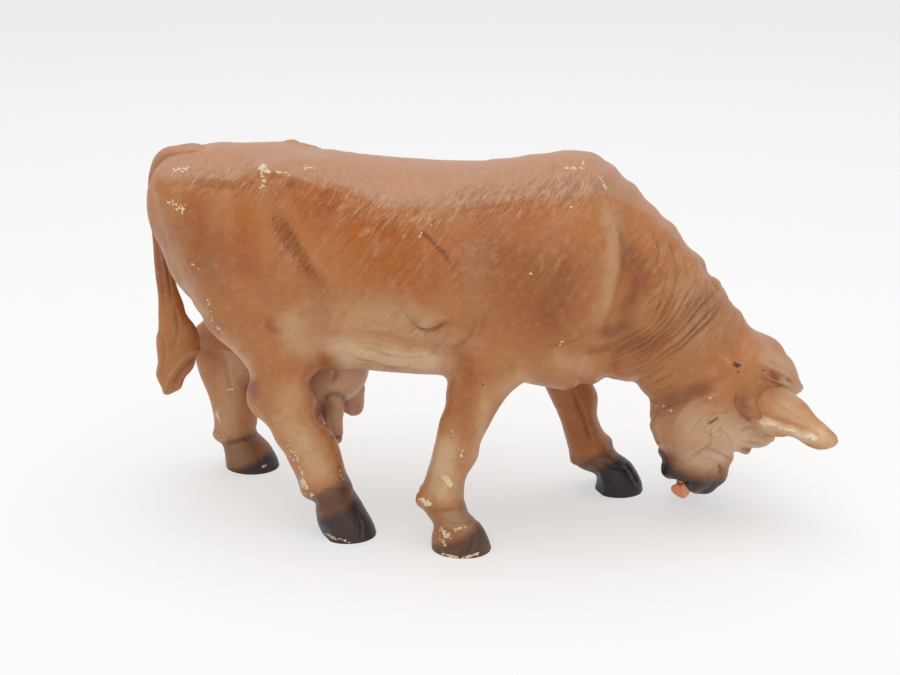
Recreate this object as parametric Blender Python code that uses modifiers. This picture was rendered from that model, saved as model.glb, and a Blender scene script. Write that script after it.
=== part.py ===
"""A grazing cow, a painted plastic toy figure in eleven moulded sections.

The cow faces +X with its right side towards -Y, and stands on the plane Z = 0. One body is sculpted from
lofted forms, fused, and parted into sections that peg together. The ears, udder, tail and tongue are plugs
in seats of their own. Lengths are in metres and angles in degrees.
"""
import math

import bmesh
import bpy
import numpy as np
from mathutils import Matrix, Vector

# Body
BODY_LENGTH = 0.100
WITHERS_HEIGHT = 0.072
BARREL_WIDTH = 0.040
NECK_DEPTH = 0.036
NECK_WIDTH = 0.024

# Head
HEAD_LENGTH = 0.031
HEAD_DEPTH = 0.019
HEAD_WIDTH = 0.016
HEAD_SWING = 0.0140
HEAD_BACK_ANGLE = 22
HEAD_SWAY_ANGLE = 11
HEAD_TWIST_ANGLE = 45

# Ears
EAR_LENGTH = 0.0200
EAR_WIDTH = 0.0094
EAR_THICKNESS = 0.0018
EAR_HOLLOW = 0.0012

# Tongue
TONGUE_LENGTH = 0.0080
TONGUE_WIDTH = 0.0034
TONGUE_THICKNESS = 0.0020

# Tail
TAIL_THICKNESS = 0.0034
TUFT_WIDTH = 0.0086

# Udder
UDDER_LENGTH = 0.0165
UDDER_WIDTH = 0.0150
TEAT_LENGTH = 0.0085
TEAT_DIAMETER = 0.0042

# Legs
LEG_DEPTH = 0.0100
LEG_WIDTH = 0.0090
TRACK = 0.028
HOOF_LENGTH = 0.0108
HOOF_WIDTH = 0.0090
HOOF_HEIGHT = 0.0072

# Assembly
CLEARANCE = 0.0003
PEG_DIAMETER = 0.0050
PEG_LENGTH = 0.0050

# Surface
RELIEF = 0.0012
GRAIN = 0.0010
FINE_GRAIN = 0.0006
BODY_FACES_SHARE = 0.12
UDDER_FACES_SHARE = 0.12
BODY_ROUNDS = 8
UDDER_ROUNDS = 4
RING_SIDES = 36
PLUG_SIDES = 16
PEG_SIDES = 24

# Trunk rows: place along, ridge, belly, half width, as shares of BODY_LENGTH, WITHERS_HEIGHT twice and
# BARREL_WIDTH
TRUNK_SHARES = (
    (-0.548, 0.938, 0.760, 0.16),
    (-0.530, 0.970, 0.675, 0.27),
    (-0.48, 0.986, 0.590, 0.35),
    (-0.41, 0.990, 0.510, 0.41),
    (-0.32, 0.988, 0.455, 0.455),
    (-0.24, 0.976, 0.435, 0.47),
    (-0.15, 0.962, 0.425, 0.49),
    (-0.05, 0.955, 0.424, 0.505),
    (0.05, 0.957, 0.425, 0.50),
    (0.14, 0.968, 0.415, 0.47),
    (0.22, 0.990, 0.395, 0.435),
    (0.275, 0.988, 0.392, 0.39),
    (0.32, 0.925, 0.425, 0.31),
    (0.35, 0.840, 0.480, 0.20),
)
TRUNK_POWER = 2.3

# Neck rows: centre as shares of BODY_LENGTH, HEAD_SWING and WITHERS_HEIGHT, then height over and depth
# under the centre as shares of NECK_DEPTH, then half width as a share of NECK_WIDTH
NECK_SHARES = (
    (0.14, 0.00, 0.680, 0.48, 0.46, 0.58),
    (0.24, 0.00, 0.670, 0.51, 0.48, 0.60),
    (0.31, 0.05, 0.640, 0.465, 0.44, 0.55),
    (0.365, 0.18, 0.580, 0.41, 0.38, 0.48),
    (0.405, 0.33, 0.515, 0.36, 0.34, 0.42),
    (0.438, 0.46, 0.440, 0.33, 0.300, 0.38),
    (0.458, 0.54, 0.370, 0.32, 0.290, 0.34),
    (0.468, 0.60, 0.310, 0.27, 0.275, 0.28),
)

# Head place: poll centre as shares of BODY_LENGTH, HEAD_SWING and WITHERS_HEIGHT
HEAD_PLACE_SHARES = (0.553, 0.55, 0.448)
# Head rows: place along the head, rise towards the forehead, forehead and jaw half depths, half width, as
# shares of HEAD_LENGTH, HEAD_DEPTH three times and HEAD_WIDTH
HEAD_SHARES = (
    (-0.10, 0.17, 0.24, 0.28, 0.26),
    (-0.04, 0.13, 0.40, 0.46, 0.41),
    (0.08, 0.08, 0.50, 0.66, 0.48),
    (0.22, -0.06, 0.55, 0.74, 0.54),
    (0.38, -0.11, 0.56, 0.76, 0.59),
    (0.54, -0.10, 0.43, 0.62, 0.47),
    (0.70, -0.03, 0.34, 0.40, 0.36),
    (0.84, 0.02, 0.32, 0.33, 0.37),
    (0.94, 0.03, 0.29, 0.30, 0.35),
    (1.00, 0.03, 0.19, 0.19, 0.25),
)
HEAD_POWER = 2.7

# Ear places: root towards the muzzle, the forehead and the right side, as shares of HEAD_LENGTH, HEAD_DEPTH
# and HEAD_WIDTH, then the directions to the tip and out of the back of the ear
EAR_PLACE_SHARES = {
    "right_ear": ((0.124, -0.161, 0.240), (0.84, -0.46, -0.28), (0.15, -0.75, 0.65)),
    "left_ear": ((0.172, 0.038, -0.343), (-0.35, 0.90, -0.25), (-0.10, 0.25, 0.96)),
}
# Ear rows: place along, half width, half thickness, hollow, as shares of EAR_LENGTH, EAR_WIDTH,
# EAR_THICKNESS and EAR_HOLLOW
EAR_SHARES = (
    (0.00, 0.36, 0.80, 0.0),
    (0.10, 0.46, 0.90, 0.3),
    (0.28, 0.52, 0.70, 0.9),
    (0.48, 0.50, 0.55, 1.0),
    (0.68, 0.42, 0.50, 0.8),
    (0.84, 0.31, 0.45, 0.5),
    (0.94, 0.20, 0.40, 0.2),
    (1.00, 0.08, 0.25, 0.0),
)

# Tongue rows: place along, half thickness, half width, as shares of TONGUE_LENGTH, _THICKNESS and _WIDTH
TONGUE_SHARES = (
    (0.00, 0.50, 0.42),
    (0.40, 0.50, 0.50),
    (0.75, 0.46, 0.50),
    (0.93, 0.36, 0.38),
    (1.00, 0.16, 0.18),
)
# Tongue tip as shares of the head, as an ear's root is, and the direction to it
TONGUE_TIP_SHARES = (1.095, -0.006, 0.131)
TONGUE_DIRECTION = (-0.22, -0.05, -0.97)

# Tail rows: centre as shares of BODY_LENGTH, TRACK and WITHERS_HEIGHT, then half depth and half width as
# shares of TAIL_THICKNESS
TAIL_SHARES = (
    (-0.430, 0.00, 0.935, 0.45, 0.60),
    (-0.480, 0.00, 0.965, 0.50, 0.64),
    (-0.527, 0.00, 0.948, 0.50, 0.60),
    (-0.548, 0.00, 0.898, 0.46, 0.52),
    (-0.554, 0.00, 0.825, 0.42, 0.46),
    (-0.550, 0.00, 0.735, 0.44, 0.46),
    (-0.547, 0.00, 0.640, 0.50, 0.50),
    (-0.544, 0.00, 0.570, 0.54, 0.54),
)
# Tuft rows, after the tail's: the same centres, then half depth and half width as shares of TUFT_WIDTH
TUFT_SHARES = (
    (-0.539, 0.01, 0.515, 0.31, 0.25),
    (-0.530, 0.02, 0.465, 0.48, 0.31),
    (-0.534, 0.03, 0.405, 0.48, 0.31),
    (-0.547, 0.04, 0.350, 0.32, 0.24),
    (-0.559, 0.04, 0.300, 0.13, 0.12),
    (-0.562, 0.04, 0.283, 0.05, 0.05),
)

# Udder rows: centre as shares of BODY_LENGTH and WITHERS_HEIGHT, then half length and half width as shares
# of UDDER_LENGTH and UDDER_WIDTH
UDDER_SHARES = (
    (-0.244, 0.500, 0.38, 0.38),
    (-0.240, 0.450, 0.49, 0.50),
    (-0.237, 0.400, 0.50, 0.50),
    (-0.234, 0.352, 0.44, 0.46),
    (-0.232, 0.322, 0.31, 0.36),
    (-0.232, 0.308, 0.15, 0.18),
)
# Teat roots as shares of UDDER_LENGTH and UDDER_WIDTH from the udder's middle, and their size as a share
TEAT_SHARES = ((-0.30, -0.26, 1.0), (-0.30, 0.26, 1.0), (0.16, -0.24, 0.70), (0.16, 0.24, 0.70))
# Teat rows: drop as a share of TEAT_LENGTH, half width as a share of TEAT_DIAMETER
TEAT_ROW_SHARES = ((-0.35, 0.62), (0.0, 0.56), (0.45, 0.46), (0.80, 0.42), (0.95, 0.30), (1.00, 0.14))

# Leg paths: places as shares of BODY_LENGTH, TRACK and WITHERS_HEIGHT, from inside the body to the fetlock
LEG_PATH_SHARES = {
    "front_right_leg": (
        (0.150, -0.30, 0.72), (0.130, -0.39, 0.61), (0.095, -0.44, 0.53), (0.073, -0.47, 0.46),
        (0.053, -0.49, 0.375), (0.034, -0.50, 0.29), (0.019, -0.50, 0.22), (0.013, -0.50, 0.165),
        (0.020, -0.50, 0.115), (0.032, -0.50, 0.080),
    ),
    "front_left_leg": (
        (0.200, 0.30, 0.72), (0.195, 0.39, 0.61), (0.190, 0.44, 0.53), (0.187, 0.47, 0.46),
        (0.194, 0.49, 0.375), (0.210, 0.51, 0.29), (0.229, 0.53, 0.22), (0.243, 0.55, 0.160),
        (0.261, 0.57, 0.110), (0.282, 0.58, 0.075),
    ),
    "rear_right_leg": (
        (-0.385, -0.22, 0.84), (-0.370, -0.33, 0.75), (-0.350, -0.38, 0.64), (-0.318, -0.42, 0.54),
        (-0.290, -0.45, 0.46), (-0.280, -0.46, 0.39), (-0.257, -0.46, 0.305), (-0.233, -0.45, 0.22),
        (-0.218, -0.44, 0.150), (-0.200, -0.43, 0.100),
    ),
    "rear_left_leg": (
        (-0.385, 0.22, 0.84), (-0.375, 0.33, 0.75), (-0.375, 0.38, 0.64), (-0.400, 0.42, 0.54),
        (-0.440, 0.45, 0.46), (-0.465, 0.47, 0.39), (-0.474, 0.49, 0.305), (-0.470, 0.51, 0.22),
        (-0.468, 0.53, 0.150), (-0.457, 0.54, 0.100),
    ),
}
# Leg girths, a row for each place of a path: half depths before and behind it as shares of LEG_DEPTH, and
# half width as a share of LEG_WIDTH
FRONT_GIRTH_SHARES = (
    (1.00, 0.90, 0.60), (1.00, 0.95, 0.76), (0.84, 0.88, 0.74), (0.62, 0.67, 0.66), (0.49, 0.49, 0.57),
    (0.41, 0.38, 0.51), (0.37, 0.36, 0.47), (0.37, 0.40, 0.48), (0.40, 0.45, 0.50), (0.43, 0.44, 0.50),
)
REAR_GIRTH_SHARES = (
    (1.00, 1.10, 0.60), (1.20, 1.10, 0.88), (1.30, 0.93, 0.98), (1.06, 0.60, 0.86), (0.80, 0.55, 0.68),
    (0.70, 0.80, 0.58), (0.58, 0.66, 0.51), (0.52, 0.50, 0.47), (0.47, 0.46, 0.48), (0.45, 0.46, 0.50),
)
# Hoof places ahead and to the left of a path's end, as shares of HOOF_LENGTH and HOOF_WIDTH
HOOF_PLACE_SHARES = {
    "front_right_leg": (0.11, 0.03), "front_left_leg": (0.24, 0.03),
    "rear_right_leg": (0.21, 0.06), "rear_left_leg": (0.18, 0.00),
}
# Hoof rows: setback, height, half lengths before and behind, half width, as shares of HOOF_LENGTH,
# HOOF_HEIGHT, HOOF_LENGTH twice and HOOF_WIDTH
HOOF_SHARES = (
    (-0.24, 1.45, 0.26, 0.28, 0.32),
    (-0.20, 1.10, 0.38, 0.42, 0.46),
    (-0.12, 0.75, 0.44, 0.46, 0.51),
    (-0.04, 0.38, 0.49, 0.50, 0.53),
    (0.00, 0.08, 0.52, 0.52, 0.53),
    (0.01, -0.30, 0.52, 0.52, 0.52),
    (0.01, -0.55, 0.45, 0.44, 0.45),
)
# Dewclaws: height as a share of HOOF_HEIGHT; then place behind the fetlock and to either side, as shares of
# HOOF_LENGTH and HOOF_WIDTH, and half length, half height and half width as shares of HOOF_LENGTH
DEWCLAW_HEIGHT_SHARES = {
    "front_right_leg": 1.42, "front_left_leg": 0.92, "rear_right_leg": 1.10, "rear_left_leg": 1.02,
}
DEWCLAW_SHARES = (-0.40, 0.20, 0.16, 0.17, 0.15)
# Where a leg parts from the trunk: place along its path, counted in rows
LEG_PART_ROWS = {"front_right_leg": 4.2, "front_left_leg": 4.4, "rear_right_leg": 5.3, "rear_left_leg": 5.0}
# Sleeve that holds a leg, along its path and at its sole: half depths before and behind as shares of the
# leg's depth and hoof's length together, and half width as a share of their widths together
LEG_SLEEVE_SHARES = ((0.41, 0.41, 0.34), (0.36, 0.36, 0.34))

# Head parting: a point of its plane as shares of BODY_LENGTH, HEAD_SWING and WITHERS_HEIGHT, and the slope
HEAD_PART_SHARES = (0.465, 0.55, 0.430)
HEAD_PART_ANGLE = 36
# Length, width and height of the block that holds the head, as shares of HEAD_DEPTH, HEAD_WIDTH and
# HEAD_LENGTH
HEAD_BLOCK_SHARES = (3.0, 3.0, 1.6)

# Bumps and hollows on both flanks: place as shares of BODY_LENGTH and WITHERS_HEIGHT, reach as a share of
# BARREL_WIDTH, height as a share of RELIEF
FLANK_SHARES = (
    (-0.295, 0.950, 0.12, 1.6),
    (-0.500, 0.925, 0.10, 1.0),
    (-0.410, 0.800, 0.18, 0.4),
    (-0.390, 0.600, 0.22, 0.7),
    (-0.210, 0.830, 0.16, -1.1),
    (0.235, 0.770, 0.22, 0.9),
    (0.290, 0.560, 0.15, 1.1),
    (0.030, 0.520, 0.12, 0.7),
)
# Creases on both flanks: places as shares of BODY_LENGTH and WITHERS_HEIGHT, then reach and height as above
CREASE_SHARES = (
    (((0.13, 0.93), (0.11, 0.78), (0.09, 0.62)), 0.08, -0.5),
    (((0.30, 0.93), (0.335, 0.78), (0.355, 0.62), (0.34, 0.50)), 0.07, -1.1),
    (((-0.27, 0.90), (-0.25, 0.76), (-0.20, 0.64)), 0.06, -0.7),
    (((-0.17, 0.70), (-0.185, 0.55), (-0.20, 0.46)), 0.07, 0.7),
)

# Bumps and hollows of the head: place towards the muzzle, the forehead and either side, as shares of
# HEAD_LENGTH, HEAD_DEPTH and HEAD_WIDTH, then reach as a share of HEAD_WIDTH and height as above
FACE_SHARES = (
    (-0.02, 0.35, 0.00, 0.30, 0.6),
    (0.40, 0.30, 0.48, 0.24, 1.6),
    (0.30, -0.40, 0.45, 0.36, 0.8),
    (0.60, 0.15, 0.45, 0.26, -0.9),
    (0.62, -0.50, 0.00, 0.30, -0.8),
    (0.90, 0.22, 0.36, 0.22, 1.1),
    (0.96, -0.28, 0.15, 0.20, 0.5),
    (0.93, 0.02, 0.40, 0.10, -0.9),
)

COLOURS = {
    "trunk": (0.42, 0.20, 0.09), "head": (0.50, 0.29, 0.17), "right_ear": (0.50, 0.29, 0.16),
    "left_ear": (0.50, 0.29, 0.16), "tail": (0.34, 0.15, 0.07), "udder": (0.55, 0.33, 0.24),
    "tongue": (0.72, 0.29, 0.16), "front_right_leg": (0.45, 0.24, 0.13), "front_left_leg": (0.40, 0.20, 0.10),
    "rear_right_leg": (0.45, 0.24, 0.13), "rear_left_leg": (0.40, 0.20, 0.10),
}
PAINT_ROUGHNESS = 0.45


# Lofts

def smooth_rows(rows, steps):
    """Rows of a table joined by Catmull-Rom curves, with steps rows for each of the table's gaps."""
    rows = np.array(rows, float)
    ends = np.vstack([2 * rows[:1] - rows[1:2], rows, 2 * rows[-1:] - rows[-2:-1]])
    t = np.linspace(0, 1, steps, endpoint=False)[None, :, None]
    a, b, c, d = (ends[i:len(ends) - 3 + i, None, :] for i in range(4))
    curve = 2 * b + (c - a) * t + (2 * a - 5 * b + 4 * c - d) * t ** 2 + (3 * b - a - 3 * c + d) * t ** 3
    return np.vstack([curve.reshape(-1, rows.shape[1]) / 2, rows[-1:]])


def unit(vectors):
    """Vectors along the last axis, scaled to length 1."""
    vectors = np.asarray(vectors, float)
    return vectors / np.linalg.norm(vectors, axis=-1, keepdims=True)


def rings_along(centres, upward, over, under, wide, power=2.0, bend=0.0, sides=RING_SIDES):
    """Superellipse rings square to a line of centres, wide across, reaching over and under along upward.

    With c and s the cosine and sine of the way round, each raised to 2 / power, a point lies wide * c
    across, and over * s - bend * c * c upward.
    """
    along = unit(np.gradient(centres, axis=0))
    upward = np.broadcast_to(np.array(upward, float), centres.shape)
    rise = unit(upward - np.sum(upward * along, axis=1, keepdims=True) * along)
    side = np.cross(rise, along)
    t = np.linspace(0, 2 * math.pi, sides, endpoint=False)
    across = np.sign(np.cos(t)) * np.abs(np.cos(t)) ** (2 / power)
    height = np.sign(np.sin(t)) * np.abs(np.sin(t)) ** (2 / power)
    reach = np.where(height > 0, np.outer(over, height), np.outer(under, height))
    reach = reach - np.outer(np.broadcast_to(bend, len(centres)), across ** 2)
    return (centres[:, None, :] + side[:, None, :] * np.outer(wide, across)[:, :, None]
            + rise[:, None, :] * reach[:, :, None])


def lengthened(centres, extra):
    """A line of centres whose two ends run on by extra."""
    centres = centres.copy()
    first, last = unit(centres[0] - centres[1]), unit(centres[-1] - centres[-2])
    centres[0] += extra * first
    centres[-1] += extra * last
    return centres


def skins_mesh(name, forms):
    """One mesh that holds a closed skin for each form, a form being an array of rings of points."""
    mesh = bmesh.new()
    for rings in forms:
        rows = [[mesh.verts.new(point) for point in ring] for ring in rings.tolist()]
        for row, following in zip(rows, rows[1:]):
            for j in range(len(row)):
                mesh.faces.new((row[j - 1], row[j], following[j], following[j - 1]))
        mesh.faces.new(list(reversed(rows[0])))
        mesh.faces.new(rows[-1])
    bmesh.ops.recalc_face_normals(mesh, faces=mesh.faces)
    data = bpy.data.meshes.new(name)
    mesh.to_mesh(data)
    mesh.free()
    return data


# Forms of the body

def trunk_rings():
    rows = smooth_rows(TRUNK_SHARES, 4) * (BODY_LENGTH, WITHERS_HEIGHT, WITHERS_HEIGHT, BARREL_WIDTH)
    middle = (rows[:, 1] + rows[:, 2]) / 2
    half = (rows[:, 1] - rows[:, 2]) / 2
    centres = np.column_stack([rows[:, 0], 0 * middle, middle])
    rings = rings_along(centres, (0, 0, 1), half, half, rows[:, 3], TRUNK_POWER)
    rings[:, :, 0] = centres[:, None, 0]
    return rings


def neck_rings():
    scale = (BODY_LENGTH, HEAD_SWING, WITHERS_HEIGHT, NECK_DEPTH, NECK_DEPTH, NECK_WIDTH)
    rows = smooth_rows(NECK_SHARES, 5) * scale
    return rings_along(rows[:, :3], (0, 0, 1), rows[:, 3], rows[:, 4], rows[:, 5])


def neck_place(shares):
    return np.array(shares) * (BODY_LENGTH, HEAD_SWING, WITHERS_HEIGHT)


def head_frame():
    """Directions to the muzzle, to the forehead and to the right side of the head."""
    back, sway, twist = (math.radians(a) for a in (HEAD_BACK_ANGLE, HEAD_SWAY_ANGLE, HEAD_TWIST_ANGLE))
    muzzle = unit((-math.tan(back), math.tan(sway), -1))
    right = unit(np.array((0, -1, 0)) + muzzle[1] * muzzle)
    front = np.cross(right, muzzle)
    return (muzzle, math.cos(twist) * front - math.sin(twist) * right,
            math.cos(twist) * right + math.sin(twist) * front)


def head_place(along, rise, aside):
    """A place on the head, towards the muzzle, the forehead and the right side, from its shares."""
    shares = np.array((along * HEAD_LENGTH, rise * HEAD_DEPTH, aside * HEAD_WIDTH))
    return neck_place(HEAD_PLACE_SHARES) + shares @ np.array(head_frame())


def head_rings():
    rows = smooth_rows(HEAD_SHARES, 4) * (HEAD_LENGTH, HEAD_DEPTH, HEAD_DEPTH, HEAD_DEPTH, HEAD_WIDTH)
    muzzle, front, _ = head_frame()
    centres = neck_place(HEAD_PLACE_SHARES) + rows[:, :1] * muzzle + rows[:, 1:2] * front
    return rings_along(centres, front, rows[:, 2], rows[:, 3], rows[:, 4], HEAD_POWER)


def leg_path(name):
    return np.array(LEG_PATH_SHARES[name]) * (BODY_LENGTH, TRACK, WITHERS_HEIGHT)


def hoof_place(name):
    x, y = leg_path(name)[-1, :2] + np.array(HOOF_PLACE_SHARES[name]) * (HOOF_LENGTH, HOOF_WIDTH)
    return np.array((x, y, 0))


def leg_rings(name):
    girths = FRONT_GIRTH_SHARES if name.startswith("front") else REAR_GIRTH_SHARES
    rows = np.hstack([leg_path(name), np.array(girths) * (LEG_DEPTH, LEG_DEPTH, LEG_WIDTH)])
    rows = smooth_rows(rows, 4)
    return rings_along(rows[:, :3], (1, 0, 0), rows[:, 3], rows[:, 4], rows[:, 5])


def hoof_rings(name):
    rows = smooth_rows(HOOF_SHARES, 4) * (HOOF_LENGTH, HOOF_HEIGHT, HOOF_LENGTH, HOOF_LENGTH, HOOF_WIDTH)
    centres = hoof_place(name) + np.column_stack([rows[:, 0], 0 * rows[:, 0], rows[:, 1]])
    rings = rings_along(centres, (1, 0, 0), rows[:, 2], rows[:, 3], rows[:, 4])
    rings[:, :, 2] = centres[:, None, 2]
    return rings


def dewclaw_forms(name):
    """Two small balls behind the fetlock."""
    behind, aside, long, high, wide = DEWCLAW_SHARES
    path = leg_path(name)
    turns = np.linspace(-1, 1, 7) * math.pi / 2
    forms = []
    for side in (-1, 1):
        middle = hoof_place(name) + (0, side * aside * HOOF_WIDTH, DEWCLAW_HEIGHT_SHARES[name] * HOOF_HEIGHT)
        middle[0] = np.interp(-middle[2], -path[:, 2], path[:, 0]) + behind * HOOF_LENGTH
        line = middle + np.outer(np.sin(turns) * high * HOOF_LENGTH, (0, 0, -1))
        swell = np.cos(turns) * HOOF_LENGTH
        forms.append(rings_along(line, (1, 0, 0), swell * long, swell * long, swell * wide, sides=PLUG_SIDES))
    return forms


# Forms of the plugs, grown by a clearance where they cut their seats

def ear_rings(name, grow):
    root, tip, back = EAR_PLACE_SHARES[name]
    rows = smooth_rows(EAR_SHARES, 3) * (EAR_LENGTH, EAR_WIDTH, EAR_THICKNESS, EAR_HOLLOW)
    centres = lengthened(head_place(*root) + rows[:, :1] * unit(tip), grow)
    thick, wide = rows[:, 2] + grow, rows[:, 1] + grow
    return rings_along(centres, back, thick, thick, wide, bend=rows[:, 3], sides=PLUG_SIDES)


def tongue_rings(grow):
    rows = smooth_rows(TONGUE_SHARES, 3) * (TONGUE_LENGTH, TONGUE_THICKNESS, TONGUE_WIDTH)
    way = unit(TONGUE_DIRECTION)
    centres = lengthened(head_place(*TONGUE_TIP_SHARES) + (rows[:, :1] - TONGUE_LENGTH) * way, grow)
    _, front, _ = head_frame()
    thick = rows[:, 1] + grow
    return rings_along(centres, front, thick, thick, rows[:, 2] + grow, sides=PLUG_SIDES)


def tail_rings(grow):
    tail = np.array(TAIL_SHARES) * (BODY_LENGTH, TRACK, WITHERS_HEIGHT, TAIL_THICKNESS, TAIL_THICKNESS)
    tuft = np.array(TUFT_SHARES) * (BODY_LENGTH, TRACK, WITHERS_HEIGHT, TUFT_WIDTH, TUFT_WIDTH)
    rows = smooth_rows(np.vstack([tail, tuft]), 2)
    centres = lengthened(rows[:, :3], grow)
    back = np.cross(np.gradient(centres, axis=0), (0, 1, 0))
    deep = rows[:, 3] + grow
    return rings_along(centres, back, deep, deep, rows[:, 4] + grow, sides=PLUG_SIDES)


def udder_forms(grow):
    rows = smooth_rows(UDDER_SHARES, 4) * (BODY_LENGTH, WITHERS_HEIGHT, UDDER_LENGTH, UDDER_WIDTH)
    centres = lengthened(np.column_stack([rows[:, 0], 0 * rows[:, 0], rows[:, 1]]), grow)
    forms = [rings_along(centres, (1, 0, 0), rows[:, 2] + grow, rows[:, 2] + grow, rows[:, 3] + grow)]
    for x, y, size in TEAT_SHARES:
        drops = smooth_rows(TEAT_ROW_SHARES, 3) * (TEAT_LENGTH, TEAT_DIAMETER) * size
        root = centres[-1] + (x * UDDER_LENGTH, y * UDDER_WIDTH, 0)
        line = root + drops[:, :1] * (0, 0, -1)
        forms.append(rings_along(line, (1, 0, 0), drops[:, 1] + grow, drops[:, 1] + grow, drops[:, 1] + grow))
    return forms


# Sculpting

def place_points(mesh, points):
    mesh.vertices.foreach_set("co", points.ravel())
    mesh.update()


def mesh_arrays(mesh):
    """Vertex places, vertex normals and edges of a mesh, as arrays."""
    points, normals = np.empty(len(mesh.vertices) * 3), np.empty(len(mesh.vertices) * 3)
    edges = np.empty(len(mesh.edges) * 2, dtype=np.int32)
    mesh.vertices.foreach_get("co", points)
    mesh.vertex_normals.foreach_get("vector", normals)
    mesh.edges.foreach_get("vertices", edges)
    return points.reshape(-1, 3), normals.reshape(-1, 3), edges.reshape(-1, 2)


def relax(points, edges, rounds):
    """Move each point half way to the mean of its neighbours, rounds times."""
    a, b = edges.T
    count = np.bincount(np.concatenate([a, b]), minlength=len(points))
    for _ in range(rounds):
        sums = [np.bincount(a, p[b], len(p)) + np.bincount(b, p[a], len(p)) for p in points.T]
        points = (points + np.column_stack(sums) / count[:, None]) / 2
    return points


def line_distance(points, line):
    """Distance of 2-D points to a line of places: the least over its straight stretches."""
    best = np.full(len(points), np.inf)
    for start, end in zip(line, line[1:]):
        way = end - start
        t = np.clip((points - start) @ way / (way @ way), 0, 1)
        best = np.minimum(best, np.linalg.norm(points - start - t[:, None] * way, axis=1))
    return best


def carve(points, normals):
    """Raise bones and muscles and sink creases: height * exp(-(distance / reach)^2) along the normals."""
    flank = points[:, (0, 2)]
    scale = np.array((BODY_LENGTH, WITHERS_HEIGHT))
    outward = np.clip(np.abs(points[:, 1]) / (BARREL_WIDTH / 4), 0, 1) ** 2
    lift = np.zeros(len(points))
    for x, z, reach, height in FLANK_SHARES:
        distance = np.linalg.norm(flank - scale * (x, z), axis=1)
        lift += height * np.exp(-(distance / (reach * BARREL_WIDTH)) ** 2)
    for line, reach, height in CREASE_SHARES:
        distance = line_distance(flank, scale * line)
        lift += height * np.exp(-(distance / (reach * BARREL_WIDTH)) ** 2)
    lift *= outward
    for along, rise, aside, reach, height in FACE_SHARES:
        for side in (-1, 1):
            distance = np.linalg.norm(points - head_place(along, rise, side * aside), axis=1)
            lift += height * np.exp(-(distance / (reach * HEAD_WIDTH)) ** 2)
    return points + normals * (lift * RELIEF)[:, None]


# Objects

class Figure:
    """The figure's two collections, and the empty that carries its parts and cutters."""

    def __init__(self, name):
        self.parts = bpy.data.collections.new(name)
        self.cutters = bpy.data.collections.new("cutters")
        for collection in (self.parts, self.cutters):
            bpy.context.scene.collection.children.link(collection)
        self.root = bpy.data.objects.new("figure", None)
        self.parts.objects.link(self.root)

    def add_part(self, name, mesh):
        part = bpy.data.objects.new(name, mesh)
        self.parts.objects.link(part)
        part.parent = self.root
        mesh.materials.clear()
        mesh.materials.append(paint(name))
        mesh.shade_smooth()
        return part

    def add_cutter(self, name, mesh, frame=None):
        cutter = bpy.data.objects.new(name, mesh)
        self.cutters.objects.link(cutter)
        cutter.parent = self.root
        cutter.matrix_local = frame or Matrix()
        cutter.hide_render = True
        cutter.display_type = "WIRE"
        return cutter

    def centre(self):
        """Bring the middle of the parts' bounds over the origin."""
        graph = bpy.context.evaluated_depsgraph_get()
        corners = []
        for part in self.parts.objects:
            if part.type == "MESH":
                box = part.evaluated_get(graph).bound_box
                corners += [part.matrix_world @ Vector(corner) for corner in box]
        low, high = np.min(corners, axis=0), np.max(corners, axis=0)
        self.root.location = (-(low[0] + high[0]) / 2, -(low[1] + high[1]) / 2, 0)


def paint(name):
    material = bpy.data.materials.new(name + "_paint")
    material.use_nodes = True
    shader = material.node_tree.nodes["Principled BSDF"]
    shader.inputs["Base Color"].default_value = (*COLOURS[name], 1)
    shader.inputs["Roughness"].default_value = PAINT_ROUGHNESS
    shader.inputs["Metallic"].default_value = 0
    return material


def boolean(thing, operation, other):
    step = thing.modifiers.new(other.name, "BOOLEAN")
    step.operation = operation
    step.object = other


def evaluated(mesh, kind, **settings):
    """The mesh that one modifier of a kind makes of a mesh."""
    thing = bpy.data.objects.new("rough", mesh)
    bpy.context.scene.collection.objects.link(thing)
    step = thing.modifiers.new(kind, kind)
    for key, value in settings.items():
        setattr(step, key, value)
    graph = bpy.context.evaluated_depsgraph_get()
    result = bpy.data.meshes.new_from_object(thing.evaluated_get(graph), depsgraph=graph)
    bpy.data.objects.remove(thing)
    return result


def fused(name, forms, grain, rounds, share, shape=None):
    """Forms fused into one skin, relaxed, shaped, and thinned to a share of its faces."""
    mesh = evaluated(skins_mesh(name, forms), "REMESH", mode="VOXEL", voxel_size=grain)
    points, _, edges = mesh_arrays(mesh)
    place_points(mesh, relax(points, edges, rounds))
    if shape:
        points, normals, _ = mesh_arrays(mesh)
        place_points(mesh, shape(points, normals))
    return evaluated(mesh, "DECIMATE", ratio=share)


def solid_mesh(name, make, **settings):
    """A mesh of one bmesh primitive."""
    mesh = bmesh.new()
    make(mesh, **settings)
    data = bpy.data.meshes.new(name)
    mesh.to_mesh(data)
    mesh.free()
    return data


def block_mesh(name, size, rise):
    """A box of a size, its top face at rise."""
    place = Matrix.Translation((0, 0, rise - size[2] / 2)) @ Matrix.Diagonal((*size, 1))
    return solid_mesh(name, bmesh.ops.create_cube, size=1, matrix=place)


def peg_mesh(name, grow):
    """A round peg that stands PEG_LENGTH over the origin and reaches as far below it."""
    radius = PEG_DIAMETER / 2 + grow
    return solid_mesh(name, bmesh.ops.create_cone, cap_ends=True, segments=PEG_SIDES, radius1=radius,
                      radius2=radius, depth=2 * (PEG_LENGTH + grow))


def frame_at(place, upward, fore):
    """Matrix of a frame at a place, its Z along upward and its X towards fore."""
    up = unit(upward)
    ahead = unit(np.array(fore, float) - np.dot(fore, up) * up)
    matrix = Matrix(np.column_stack([ahead, np.cross(up, ahead), up]).tolist()).to_4x4()
    matrix.translation = Vector(place)
    return matrix


# Sections and plugs

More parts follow.
